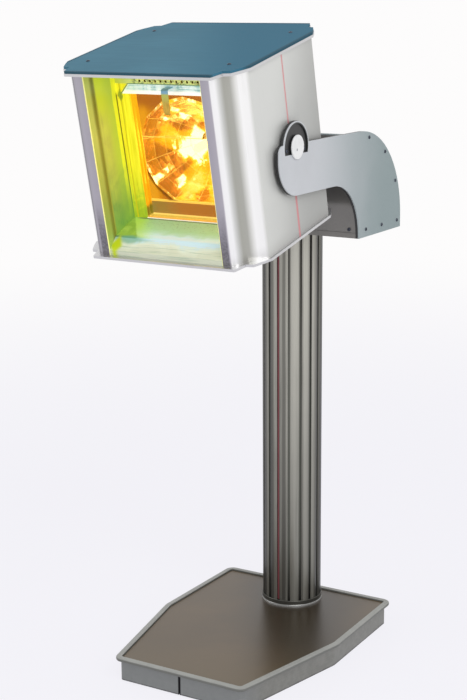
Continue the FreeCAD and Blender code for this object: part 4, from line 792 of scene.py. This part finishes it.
def skirt_metal(colour):
    """Brushed skirt of the base: mottled, cooler at its front, darker along its lower edge, and with a dark
    seam.
    """
    finish = Finish("skirt_metal", metallic=0.7)
    x, y, z = finish.axes()
    lines = finish.noise((0.06, 0.06, 0.0010), 4.0)
    blotches = finish.noise(90.0, 4.0, 0.65)
    metal = layered(
        toned(colour, 0.82, 1.04, (lines * 0.4 + blotches * 0.6).rise(0.30, 0.70)),
        (times(colour, (0.92, 0.98, 1.10)), y.rise(-0.30, -0.37) * 0.6),
        ((0.030, 0.030, 0.032), (z + blotches * 0.003).rise(0.0064, 0.0036) * 0.7),
        ((0.020, 0.020, 0.022), abs(x).rise(0.0030, 0.0016) * y.rise(-0.30, -0.32)))
    return finish.lay(metal, lines, 0.16, 0.34, 0.1, 0.00012)


def rim_plastic(colour):
    """Pale moulded rim, with a painted highlight along its crown and its side painted darker as shade."""
    finish = Finish("rim_plastic")
    _, _, z = finish.axes()
    pits = finish.noise(1100.0, 2.0, 0.7)
    clouds = finish.noise(30.0, 4.0)
    crown = (z + (clouds - 0.5) * 0.0008).rise(0.0396, 0.0414)
    # Painted highlight along the crown, over the side's painted shade
    crown_highlight = tuple(min(channel, 1.0) for channel in times(colour, 1.5))
    base = layered(toned(colour, 0.50, 0.66, crown), (crown_highlight, crown * (clouds * 0.5 + 0.35)))
    return finish.lay(base, pits, 0.2, 0.36, 0.2, 0.00015)


def make_finishes(colours):
    """Every finish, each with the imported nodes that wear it."""
    plate = times(colours.satin, (0.98, 0.97, 1.02))
    return (
        (side_metal(colours.satin), "head_side_left", "head_side_right"),
        (drawn_metal("satin_plate", plate, times(plate, 0.9), 0.34, (60, 1, 1), head=True),
         "top_end_plate", "bottom_end_plate"),
        (teal_lacquer(colours.teal), "top_cover"),
        (channel_walls(), "channel_wall_left", "channel_wall_right"),
        (channel_floor(), "channel_floor"),
        (channel_ceiling(), "channel_ceiling"),
        (window_sheet(), "window_panel"),
        (bulkhead_metal(),),
        (reflector_metal(colours.glow),),
        (bulb_glow(),),
        (catch_brass(shade(198, 160, 62)),),
        (tinted_glass("orange_pane", colours.pane, (0.9, 0.35, 0.03), 0.03), "orange_filter"),
        (tinted_glass("clear_pane", (0.93, 0.97, 0.95), (0.5, 0.55, 0.52), 0.01), "heat_glass"),
        (filter_edge(), "filter_frame"),
        (drawn_metal("plain_steel", (0.55, 0.55, 0.55), (0.42, 0.42, 0.42), 0.38, (1, 30, 1)),
         "lamp_bracket", "tie_rods", "pivot_blocks", "pivot_studs", "yoke_angles", "yoke_bolts",
         "column_bolts"),
        (drawn_metal("dark_screw", (0.10, 0.11, 0.14), (0.05, 0.055, 0.07), 0.35, (1, 1, 1)),),
        (sprayed_paint("arm_black", (0.020, 0.020, 0.022), (0.012, 0.012, 0.013)),
         "arm_plate_left", "arm_plate_right", "ballast_plate", "column_foot_block"),
        (arm_paint(colours.arm), "arm_cover_left", "arm_cover_right", "yoke_outer_cover"),
        (sprayed_paint("yoke_grey", (0.22, 0.21, 0.20), (0.17, 0.165, 0.16), metallic=0.3),
         "yoke_inner_cover", "yoke_bottom_plate"),
        (column_metal(colours.column), "column"),
        (ring_metal(colours.column), "column_foot_ring"),
        (base_board(colours.board), "base_panel"),
        (rim_plastic(colours.rim), "base_rim"),
        (skirt_metal(colours.skirt), "base_skirt", "base_deck"),
        (moulded("black_rubber", (0.020, 0.020, 0.020), 0.75), "rubber_mat"),
        (moulded("black_plastic", (0.022, 0.022, 0.024), 0.45, head=True),
         "fan_frame", "power_inlet", "switch_housing", "power_module", "tilt_washers"),
        (rocker_plastic(), "switch_rocker"),
        (cap_plastic((0.88, 0.88, 0.89)),),
        (moulded("cream_ceramic", (0.80, 0.76, 0.66), 0.55, head=True), "lamp_holder"),
        (moulded("pale_red", (0.78, 0.30, 0.32), 0.40, head=True), "side_inlays"),
        (moulded("dark_red", (0.32, 0.070, 0.085), 0.40), "column_inlay"),
        (sprayed_paint("rear_paint", (0.40, 0.41, 0.42), (0.34, 0.35, 0.36), head=True), "rear_panel"),
    )


# The finishes that the first step has made, by name
FINISHES = {}


def wear(piece, material):
    """Give an object one material on all its faces."""
    piece.data.materials.clear()
    piece.data.materials.append(material)


# ---------------------------------------------------------------- settings

def setting(kind, **limits):
    """A maker of settings of one kind, each from its name, description and default."""
    def make(name, description, default):
        return kind(name=name, description=description, default=default, **limits)
    return make


colour_setting = setting(FloatVectorProperty, size=3, min=0.0, max=1.0, subtype="COLOR")
length_setting = setting(FloatProperty, min=0.0, unit="LENGTH", precision=4)
level_setting = setting(FloatProperty, min=0.0)
power_setting = setting(FloatProperty, min=0.0, unit="POWER")
focal_setting = setting(FloatProperty, min=100.0, subtype="PIXEL")
angle_setting = setting(FloatProperty, subtype="ANGLE")


class HeatLampColours(bpy.types.PropertyGroup):
    """Colours of the main finishes."""
    satin: colour_setting("Head metal", "Flanks of the lamp head", shade(217, 218, 215))
    teal: colour_setting("Top cover", "Lacquer of the head's top cover", shade(84, 135, 157))
    arm: colour_setting("Arm covers", "Paint of the arm covers", shade(208, 211, 216))
    column: colour_setting("Column", "Metal of the column", shade(135, 134, 127))
    board: colour_setting("Base board", "Board in the top of the base", shade(90, 72, 44))
    rim: colour_setting("Base rim", "Rim round the base", shade(153, 154, 150))
    skirt: colour_setting("Base skirt", "Skirt round the base", shade(138, 138, 133))
    pane: colour_setting("Filter", "Tint of the filter glass", (1.0, 0.78, 0.42))
    glow: level_setting("Glow", "Brightness of the lit reflector", 6.5)


class HeatLampReflector(bpy.types.PropertyGroup):
    """Faceted reflector behind the filter."""
    rim: length_setting("Rim radius", "Radius of the bowl at its mouth", 0.080)
    flange: length_setting("Flange", "Width of the flat ring round the mouth", 0.004)
    depth: length_setting("Depth", "Depth of the bowl", 0.062)
    neck: length_setting("Neck radius", "Radius of the hole that the bulb comes through", 0.015)
    wall: length_setting("Wall", "Thickness of the bowl", 0.0015)
    sectors: IntProperty(name="Sectors", description="Facets round the bowl", default=14, min=6, max=40)


class HeatLampBulb(bpy.types.PropertyGroup):
    """Halogen bulb in the reflector."""
    radius: length_setting("Radius", "Radius of the quartz bulb", 0.0068)
    length: length_setting("Length", "Length from the tip to the seal", 0.045)


class HeatLampCatch(bpy.types.PropertyGroup):
    """Spring strip that holds the filter."""
    width: length_setting("Width", "Width of the strip", 0.0116)
    reach: length_setting("Reach", "How far the strip stands in front of the panel", 0.016)
    drop: length_setting("Drop", "How far it hangs below its bend", 0.0385)
    thickness: length_setting("Thickness", "Thickness of the strip", 0.0012)


class HeatLampFan(bpy.types.PropertyGroup):
    """Rotor of the cooling fan."""
    hub: length_setting("Hub radius", "Radius of the hub", 0.017)
    tip: length_setting("Tip radius", "Radius of the blades' tips", 0.036)
    blades: IntProperty(name="Blades", description="Number of blades", default=7, min=3, max=12)
    root_pitch: angle_setting("Root pitch", "Pitch of a blade at the hub", math.radians(48))
    tip_pitch: angle_setting("Tip pitch", "Pitch of a blade at its tip", math.radians(28))


class HeatLampScrews(bpy.types.PropertyGroup):
    """Button-head screws."""
    radius: length_setting("Head radius", "Radius of a screw's head", 0.00285)
    height: length_setting("Head height", "Height of a screw's head", 0.0016)
    socket: length_setting("Socket", "Distance across the flats of the hexagon socket", 0.0020)


class HeatLampCaps(bpy.types.PropertyGroup):
    """Caps over the tilt joint."""
    radius: length_setting("Radius", "Radius of a cap", 0.0175)
    thickness: length_setting("Thickness", "Thickness of a cap's disc", 0.0026)
    dish: length_setting("Dish", "Depth of the shallow dish in its face", 0.0004)


class HeatLampStage(bpy.types.PropertyGroup):
    """Studio: floor, light and camera."""
    daylight: level_setting("Daylight", "Strength of the even light from all sides", 0.55)
    key_power: power_setting("Key light", "Power of the large soft light", 34.0)
    focal_pixels: focal_setting("Focal length", "Focal length in pixels of a 700 pixel high picture", 1551.8)


# ---------------------------------------------------------------- steps

class HEATLAMP_OT_finish_frame(bpy.types.Operator):
    """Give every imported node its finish"""
    bl_idname = "heatlamp.finish_frame"
    bl_label = "Finish the frame"

    def execute(self, context):
        for finish, *members in make_finishes(context.scene.heatlamp_colours):
            FINISHES[finish.name] = finish.material
            for member in members:
                wear(NODES[member], finish.material)
        return {"FINISHED"}


class HEATLAMP_OT_reflector(bpy.types.Operator):
    """Make the faceted reflector and the plate that carries it"""
    bl_idname = "heatlamp.reflector"
    bl_label = "Reflector"

    def execute(self, context):
        size = context.scene.heatlamp_reflector
        turn = math.pi / size.sectors
        bowl = np.array([(1.0, 0.0), (0.90, 0.25), (0.77, 0.50), (0.60, 0.72), (0.40, 0.89)])
        inner = np.vstack([bowl * (size.rim, size.depth), (size.neck, size.depth)])
        outer = inner[::-1] + (size.wall, size.wall * 0.6)
        outer[0] = (size.neck + size.wall, size.depth)
        outer[-1] = (size.rim + size.wall, size.wall)
        ring = [(size.rim + size.flange, size.wall), (size.rim + size.flange, 0.0)]
        loop = turned(np.vstack([inner, outer, ring]), size.sectors, turn)[..., ALONG_Y]
        piece = make_piece("reflector_bowl", [(loop + (0.0, REFLECTOR_FRONT, REFLECTOR_DROP), True)],
                           "reflector_metal", "head", "reflector", crease=1.0)
        tone_facets(piece, size.sectors, turn, size.rim)
        self.make_plate(size, turn)
        return {"FINISHED"}

    def make_plate(self, size, turn):
        """Flat plate between the reflector's many-sided edge and a rectangle: k(a) along the ray at angle a,
        where k is the edge's radius at one side and the rectangle's reach at the other."""
        side, low, high = CHANNEL_SIDE, -0.136 - REFLECTOR_DROP, 0.134 - REFLECTOR_DROP
        corners = np.arctan2([low, low, high, high], [-side, side, side, -side])
        edges = turn + np.arange(size.sectors) * 2.0 * turn
        angle = np.concatenate([edges, corners, np.linspace(0, 2 * math.pi, 73)[:-1]]) % (2.0 * math.pi)
        angle = np.unique(np.round(angle, 6))
        cosine, sine = np.cos(angle), np.sin(angle)
        reach = np.minimum(side / np.maximum(abs(cosine), 1e-9),
                           np.where(sine > 0, high, -low) / np.maximum(abs(sine), 1e-9))
        gap, front, back = 0.0003, -0.0360, -0.0345
        hole = (size.rim + size.wall + gap) * math.cos(turn) / np.cos((angle - turn) % (2.0 * turn) - turn)
        sheet = np.stack([
            np.stack([radius * cosine, np.full_like(angle, y), radius * sine + REFLECTOR_DROP], axis=-1)
            for radius, y in ((hole, front), (hole, back), (reach, back), (reach, front))])
        # Folded ledge across the foot, by the corners (y, z) of its section
        corner = [(-0.0405, -0.1050), (-0.0390, -0.1050), (-0.0390, -0.0815), (-0.0361, -0.0815),
                  (-0.0361, -0.0800), (-0.0405, -0.0800)]
        ledge = swept(np.array([(-side, 0.0, 0.0), (side, 0.0, 0.0)]), np.array([(0.0, 1.0, 0.0)]),
                      np.array([(0.0, 0.0, 1.0)]), corner)
        make_piece("reflector_bulkhead", [(sheet, True), (ledge, False)], "bulkhead_metal", "head",
                   "reflector_plate", crease=30.0)


def tone_facets(piece, sectors, turn, rim):
    """Give each facet a tone, 'glow', and its own UV square.

    The tone is a seeded draw per sector and ring between 0.08 and 0.70; the flange is evenly bright, and the
    facets that look backwards, away from the bulb, have the tone -1.
    """
    faces = piece.data.polygons
    centre, normal = np.empty((2, len(faces) * 3))
    faces.foreach_get("center", centre)
    faces.foreach_get("normal", normal)
    x, _, z = ((centre.reshape(-1, 3) - HEAD_CENTRE) @ HEAD_AXES.T).T
    backwards = (normal.reshape(-1, 3) @ HEAD_AXES.T)[:, 1]
    z = z - REFLECTOR_DROP
    reach = np.hypot(x, z)
    table = np.random.default_rng(11).random((sectors, 6))
    sector = np.floor((np.arctan2(z, x) - turn) / (2.0 * turn)).astype(int) % sectors
    ring = np.clip((reach / rim * 6).astype(int), 0, 5)
    tone = np.where(reach > rim * math.cos(turn), 0.84, 0.08 + 0.62 * table[sector, ring])
    tone = np.where(backwards > 0.05, -1.0, tone)
    piece.data.attributes.new("glow", "FLOAT", "FACE").data.foreach_set("value", tone.astype(np.float32))
    square = np.tile([(0.0, 0.0), (1.0, 0.0), (1.0, 1.0), (0.0, 1.0)], (len(faces), 1)).astype(np.float32)
    piece.data.uv_layers.new(name="facet").data.foreach_set("uv", square.ravel())


class HEATLAMP_OT_bulb(bpy.types.Operator):
    """Make the lit halogen bulb with its pinched seal"""
    bl_idname = "heatlamp.bulb"
    bl_label = "Halogen bulb"

    def execute(self, context):
        size = context.scene.heatlamp_bulb
        seal, pressed_length, taper, pressed = 0.0263, 0.016, 0.006, 0.62
        tip = seal - size.length
        shoulder = tip + size.radius
        # A small pip and a round tip, then pressed flat in z over the last third: (r cos a, y, f(y) r sin a)
        profile = np.vstack([
            [(0.0, tip - 0.0012), (0.0009, tip - 0.0008), (0.0010, tip)],
            arc((0.0, shoulder), size.radius, -90, 0, 9)[1:],
            np.linspace((size.radius, shoulder + 0.004), (size.radius, seal), 14), [(0.0, seal)]])
        flat = 1.0 - pressed * np.clip((profile[:, 1] - (seal - pressed_length)) / taper, 0.0, 1.0)
        glass = turned(profile, 28)[..., ALONG_Y]
        glass[..., 2] = glass[..., 2] * flat[:, None] + REFLECTOR_DROP
        make_piece("halogen_bulb", [(glass, False)], "bulb_glow", "head", "halogen_lamp")
        return {"FINISHED"}


class HEATLAMP_OT_catch(bpy.types.Operator):
    """Make the spring strip that holds the filter"""
    bl_idname = "heatlamp.catch"
    bl_label = "Filter catch"

    def execute(self, context):
        size = context.scene.heatlamp_catch
        front, top, bend, lip = PANEL_FRONT - size.reach, 0.0990, 0.0030, 0.0060
        foot = top - size.drop
        # Out from the panel, round a quarter bend and down, with a lip that turns in at the end
        line = np.vstack([
            np.linspace((PANEL_FRONT - 0.0004, top), (front + bend, top), 5),
            arc((front + bend, top - bend), bend, 90, 180, 9)[1:],
            np.linspace((front, top - bend), (front, foot + lip), 9)[1:],
            arc((front + lip, foot + lip), lip, 180, 232, 8)[1:],
        ])
        slope = np.gradient(line, axis=0)
        slope /= np.linalg.norm(slope, axis=1)[:, None]
        aside, zero = np.full(len(line), -0.0022), np.zeros(len(line))
        half, thick = size.width / 2.0, size.thickness / 2.0
        corner = thick * 0.8
        section = np.vstack([
            arc((right * (half - corner), up * (thick - corner)), corner, first, first + 90, 4)
            for right, up, first in ((1, 1, 0), (-1, 1, 90), (-1, -1, 180), (1, -1, 270))])
        narrow = 1.0 - 0.25 * np.clip((foot + 0.010 - line[:, 1]) / 0.010, 0.0, 1.0)
        strip = swept(np.stack([aside, *line.T], axis=-1), np.stack([narrow, zero, zero], axis=-1),
                      np.stack([zero, -slope[:, 1], slope[:, 0]], axis=-1), section)
        make_piece("filter_catch_strip", [(strip, False)], "catch_brass", "head",
                   "filter_catch", crease=40.0)
        return {"FINISHED"}


class HEATLAMP_OT_fan(bpy.types.Operator):
    """Make the fan's rotor with twisted blades"""
    bl_idname = "heatlamp.fan"
    bl_label = "Fan rotor"

    def execute(self, context):
        size = context.scene.heatlamp_fan
        face, floor, back, wall, edge = 0.0094, -0.0060, -0.0092, size.hub - 0.0016, 0.003
        hub = np.vstack([(0.0, face), arc((size.hub - edge, face - edge), edge, 90, 0, 7),
                         [(size.hub, back), (wall, back), (wall, floor), (0.0, floor)]])
        sheets = [(turned(hub, 48)[..., ALONG_Y] + FAN_CENTRE, False)]
        # A blade's point at radius r and chord u: turned by pitch(r), bowed by 1 - u*u, swept back with r
        camber, back_sweep, flattening = 0.16, 0.004, 0.92
        radius = np.linspace(size.hub - 0.0012, size.tip, 12)[:, None]
        along = (radius - radius[0]) / (radius[-1] - radius[0])
        loop = np.linspace(0.0, 2.0 * math.pi, 18, endpoint=False)
        chord, skin = np.cos(loop), np.sin(loop)
        half = 0.0082 + 0.0026 * np.sin(along * math.pi * 0.6)
        pitch = size.root_pitch + (size.tip_pitch - size.root_pitch) * along
        thick = 0.0009 - 0.0004 * along
        rest = np.abs(1.0 - chord ** 2)
        bow = half * camber * rest + thick * skin * np.sqrt(rest * 0.8 + 0.2)
        flat = half * chord
        tangent = flat * np.cos(pitch) - bow * np.sin(pitch) + back_sweep * along ** 2
        axial = (flat * np.sin(pitch) + bow * np.cos(pitch)) * flattening
        for blade in range(size.blades):
            angle = 2.0 * math.pi * blade / size.blades + tangent / radius
            rows = np.stack([radius * np.cos(angle), axial, radius * np.sin(angle)], axis=-1)
            sheets.append((capped(rows) + FAN_CENTRE, False))
        make_piece("fan_blades", sheets, "black_plastic", "fan_rotor", "fan_rotor")
        return {"FINISHED"}


class HEATLAMP_OT_screws(bpy.types.Operator):
    """Make every visible button-head screw with its hexagon socket"""
    bl_idname = "heatlamp.screws"
    bl_label = "Screws"

    def execute(self, context):
        sides = (1, -1)
        ends = [((x * 0.118, y * 0.088, z), (0, 0, np.sign(z)))
                for z in (0.1413, -0.1400) for y in sides for x in sides]
        rear = [((x * 0.0858, 0.133, z), (0, 1, 0)) for x in sides for z in (0.122, 0.0, -0.124)]
        washer = [((side * 0.1585, y, 0.846), (side, 0, 0)) for side in sides for y in (-0.3065, -0.2545)]
        # The covers' screws: three round the shoulder, three along the bottom, two in front and two behind
        row = [(y, 0.7015) for y in (0.0592, 0.0026, -0.0540)]
        around = [*arc((-0.0750, 0.7080), 0.1390, 78.0, 25.0, 3), *row]
        yoke = [((side * 0.1605, y, z), (side, 0, 0)) for side in sides for y, z in around]
        yoke += [((x * 0.1435, y, 0.7031), (0, np.sign(y), 0)) for x in sides for y in (0.0660, -0.0789)]
        head = self.head(context.scene.heatlamp_screws)
        for name, places, body in (("end", ends, "head"), ("rear", rear, "head"), ("washer", washer, "stand"),
                                   ("yoke", yoke, "stand")):
            heads = [(stood(head, *place), False) for place in places]
            make_piece(f"{name}_button_screws", heads, "dark_screw", body, f"{name}_screws",
                       tilted=body == "head")
        return {"FINISHED"}

    def head(self, size):
        """A dome with a six-sided socket: round rows outside; inside, radius f / cos(a mod 60 - 30)."""
        steps, shank, depth, brim = 24, 0.0014, 0.0060, 0.28
        edge = [(0.0, -depth), (shank, -depth), (shank, 0.0), (size.radius, 0.0),
                (size.radius, size.height * brim)]
        dome = [(size.radius * math.sin(t), size.height * (brim + (1.0 - brim) * math.cos(t)))
                for t in (1.25, 0.95, 0.68)]
        angle = np.arange(steps) * 2.0 * math.pi / steps
        flat = size.socket / 2.0 / np.cos(angle % (math.pi / 3.0) - math.pi / 6.0)
        hexagon = np.stack([flat * np.cos(angle), flat * np.sin(angle), np.zeros(steps)], axis=-1)
        inside = [hexagon * (scale, scale, 1.0) + (0.0, 0.0, size.height * level)
                  for scale, level in ((1.08, 0.90), (1.0, 0.84), (1.0, 0.25), (0.0, 0.20))]
        return np.concatenate([turned([*edge, *dome], steps), inside])


class HEATLAMP_OT_caps(bpy.types.Operator):
    """Make the caps over the tilt joint"""
    bl_idname = "heatlamp.caps"
    bl_label = "Pivot caps"

    def execute(self, context):
        size = context.scene.heatlamp_caps
        face, hub, foot, soft = 0.1634, 0.0095, 0.1588, 0.0012
        back = face - size.thickness
        # From the middle of the face outwards: a shallow dish, a rounded edge, the back and the hub
        profile = np.vstack([
            [(0.0, face - size.dish), (size.radius * 0.45, face - size.dish * 0.9),
             (size.radius * 0.78, face - size.dish * 0.35), (size.radius - soft * 1.8, face)],
            arc((size.radius - soft, face - soft), soft, 80, 0, 7),
            [(size.radius, back + 0.0004), (size.radius - 0.0004, back), (hub, back), (hub, foot),
             (0.0, foot)],
        ])
        disc = turned(profile, 64)
        caps = [(stood(disc, (0.0, -0.0027, 0.0), (side, 0, 0)), False) for side in (1, -1)]
        make_piece("pivot_cap_discs", caps, "cap_plastic", "head", "pivot_caps")
        return {"FINISHED"}


class HEATLAMP_OT_stage(bpy.types.Operator):
    """Set up floor, lights, world and camera"""
    bl_idname = "heatlamp.stage"
    bl_label = "Studio"

    def execute(self, context):
        settings = context.scene.heatlamp_stage
        build_floor()
        build_world(settings.daylight)
        soft_lamp("key_lamp", (1.9, -1.6, 2.2), (0, -0.2, 0.7), (1.8, 2.0), settings.key_power)
        soft_lamp("left_lamp", (-2.6, -1.2, 1.8), (0, -0.2, 0.6), (1.4, 1.8), settings.key_power * 0.3)
        build_camera(settings.focal_pixels)
        context.scene.view_settings.view_transform = "Standard"
        return {"FINISHED"}


def build_world(daylight):
    """Even air: its own strength for light, and plain white where it is seen."""
    world = bpy.data.worlds.new("studio_air")
    bpy.context.scene.world = world
    world.use_nodes = True
    air = Wiring(world.node_tree, "ShaderNodeOutputWorld")
    air.show(air.add("ShaderNodeBackground", None, {0: WHITE, 1: daylight}),
             air.add("ShaderNodeBackground", None, {0: BACKDROP_WHITE, 1: 1.0}), air.seen())


def build_floor():
    """Pale paper floor. Where it is seen it is mostly its own white, wholly so far from the lamp, and the
    rest of it still takes the lamp's shadow."""
    mesh = bpy.data.meshes.new("studio_floor")
    # A hair lower than the rubber mat, so that the two never share a plane
    reach, level = 14.0, -0.0002
    corners = [(x * reach, y * reach, level) for x, y in ((-1, -1), (1, -1), (1, 1), (-1, 1))]
    mesh.from_pydata(corners, [], [(0, 1, 2, 3)])
    floor = bpy.data.objects.new("studio_floor", mesh)
    bpy.context.scene.collection.objects.link(floor)
    finish = Finish("floor_paper", roughness=0.9)
    x, y, _ = finish.axes()
    far = ((x * x + y * y) ** 0.5).rise(0.7, 4.0)
    finish.paint(base_color=mix((0.86, 0.86, 0.87), (0.90, 0.90, 0.90), finish.noise(3.0, 4.0)))
    white = finish.add("ShaderNodeEmission", None, {0: mix(FLOOR_WHITE, BACKDROP_WHITE, far)})
    finish.show(finish.body, white, finish.seen() * (far * 0.12 + 0.88))
    wear(floor, finish.material)


def soft_lamp(name, place, target, size, power):
    """A large rectangular lamp at a place, facing a target."""
    lamp = bpy.data.lights.new(name, "AREA")
    lamp.shape = "RECTANGLE"
    lamp.size, lamp.size_y = size
    lamp.energy = power
    piece = bpy.data.objects.new(name, lamp)
    piece.location = place
    piece.rotation_euler = (Vector(target) - Vector(place)).to_track_quat("-Z", "Y").to_euler()
    bpy.context.scene.collection.objects.link(piece)


def build_camera(focal):
    """Camera from its azimuth, pitch and roll: it looks from the front right, slightly down."""
    azimuth, pitch, roll = np.radians([30.99, 13.19, -0.41])
    place, picture_height, sensor_height = (1.2206, -2.2237, 1.0728), 700.0, 24.0
    back = np.array([math.sin(azimuth), -math.cos(azimuth), 0.0])
    right = np.array([math.cos(azimuth), math.sin(azimuth), 0.0])
    forward = -back * math.cos(pitch) + np.array([0.0, 0.0, -math.sin(pitch)])
    up = np.cross(right, forward)
    right, up = right * math.cos(roll) + up * math.sin(roll), up * math.cos(roll) - right * math.sin(roll)
    camera = bpy.data.cameras.new("camera")
    camera.sensor_fit = "VERTICAL"
    camera.sensor_height = sensor_height
    camera.lens = focal / picture_height * sensor_height
    camera.clip_end = 60.0
    piece = bpy.data.objects.new("camera", camera)
    matrix = np.eye(4)
    matrix[:3] = np.stack([right, up, -forward, place], axis=-1)
    piece.matrix_world = Matrix(matrix.tolist())
    bpy.context.scene.collection.objects.link(piece)
    bpy.context.scene.camera = piece


class HEATLAMP_PT_panel(bpy.types.Panel):
    """Steps that dress the lamp, in order"""
    bl_label = "Heat Lamp"
    bl_idname = "HEATLAMP_PT_panel"
    bl_space_type = "VIEW_3D"
    bl_region_type = "UI"
    bl_category = "Heat Lamp"

    def draw(self, context):
        column = self.layout.column(align=True)
        for step in STEPS:
            column.operator(step.bl_idname)
        for name, group in SETTINGS.items():
            box = self.layout.box()
            for row in group.__annotations__:
                box.prop(getattr(context.scene, name), row)


SETTINGS = {
    "heatlamp_colours": HeatLampColours,
    "heatlamp_reflector": HeatLampReflector,
    "heatlamp_bulb": HeatLampBulb,
    "heatlamp_catch": HeatLampCatch,
    "heatlamp_fan": HeatLampFan,
    "heatlamp_screws": HeatLampScrews,
    "heatlamp_caps": HeatLampCaps,
    "heatlamp_stage": HeatLampStage,
}
STEPS = (HEATLAMP_OT_finish_frame, HEATLAMP_OT_reflector, HEATLAMP_OT_bulb, HEATLAMP_OT_catch,
         HEATLAMP_OT_fan, HEATLAMP_OT_screws, HEATLAMP_OT_caps, HEATLAMP_OT_stage)
CLASSES = (*SETTINGS.values(), *STEPS, HEATLAMP_PT_panel)


def register():
    for item in CLASSES:
        bpy.utils.register_class(item)
    for name, group in SETTINGS.items():
        setattr(bpy.types.Scene, name, PointerProperty(type=group))


def unregister():
    for name in SETTINGS:
        delattr(bpy.types.Scene, name)
    for item in reversed(CLASSES):
        bpy.utils.unregister_class(item)


def main():
    register()
    bpy.ops.heatlamp.finish_frame()
    bpy.ops.heatlamp.reflector()
    bpy.ops.heatlamp.bulb()
    bpy.ops.heatlamp.catch()
    bpy.ops.heatlamp.fan()
    bpy.ops.heatlamp.screws()
    bpy.ops.heatlamp.caps()
    bpy.ops.heatlamp.stage()


if __name__ == "__main__":
    main()
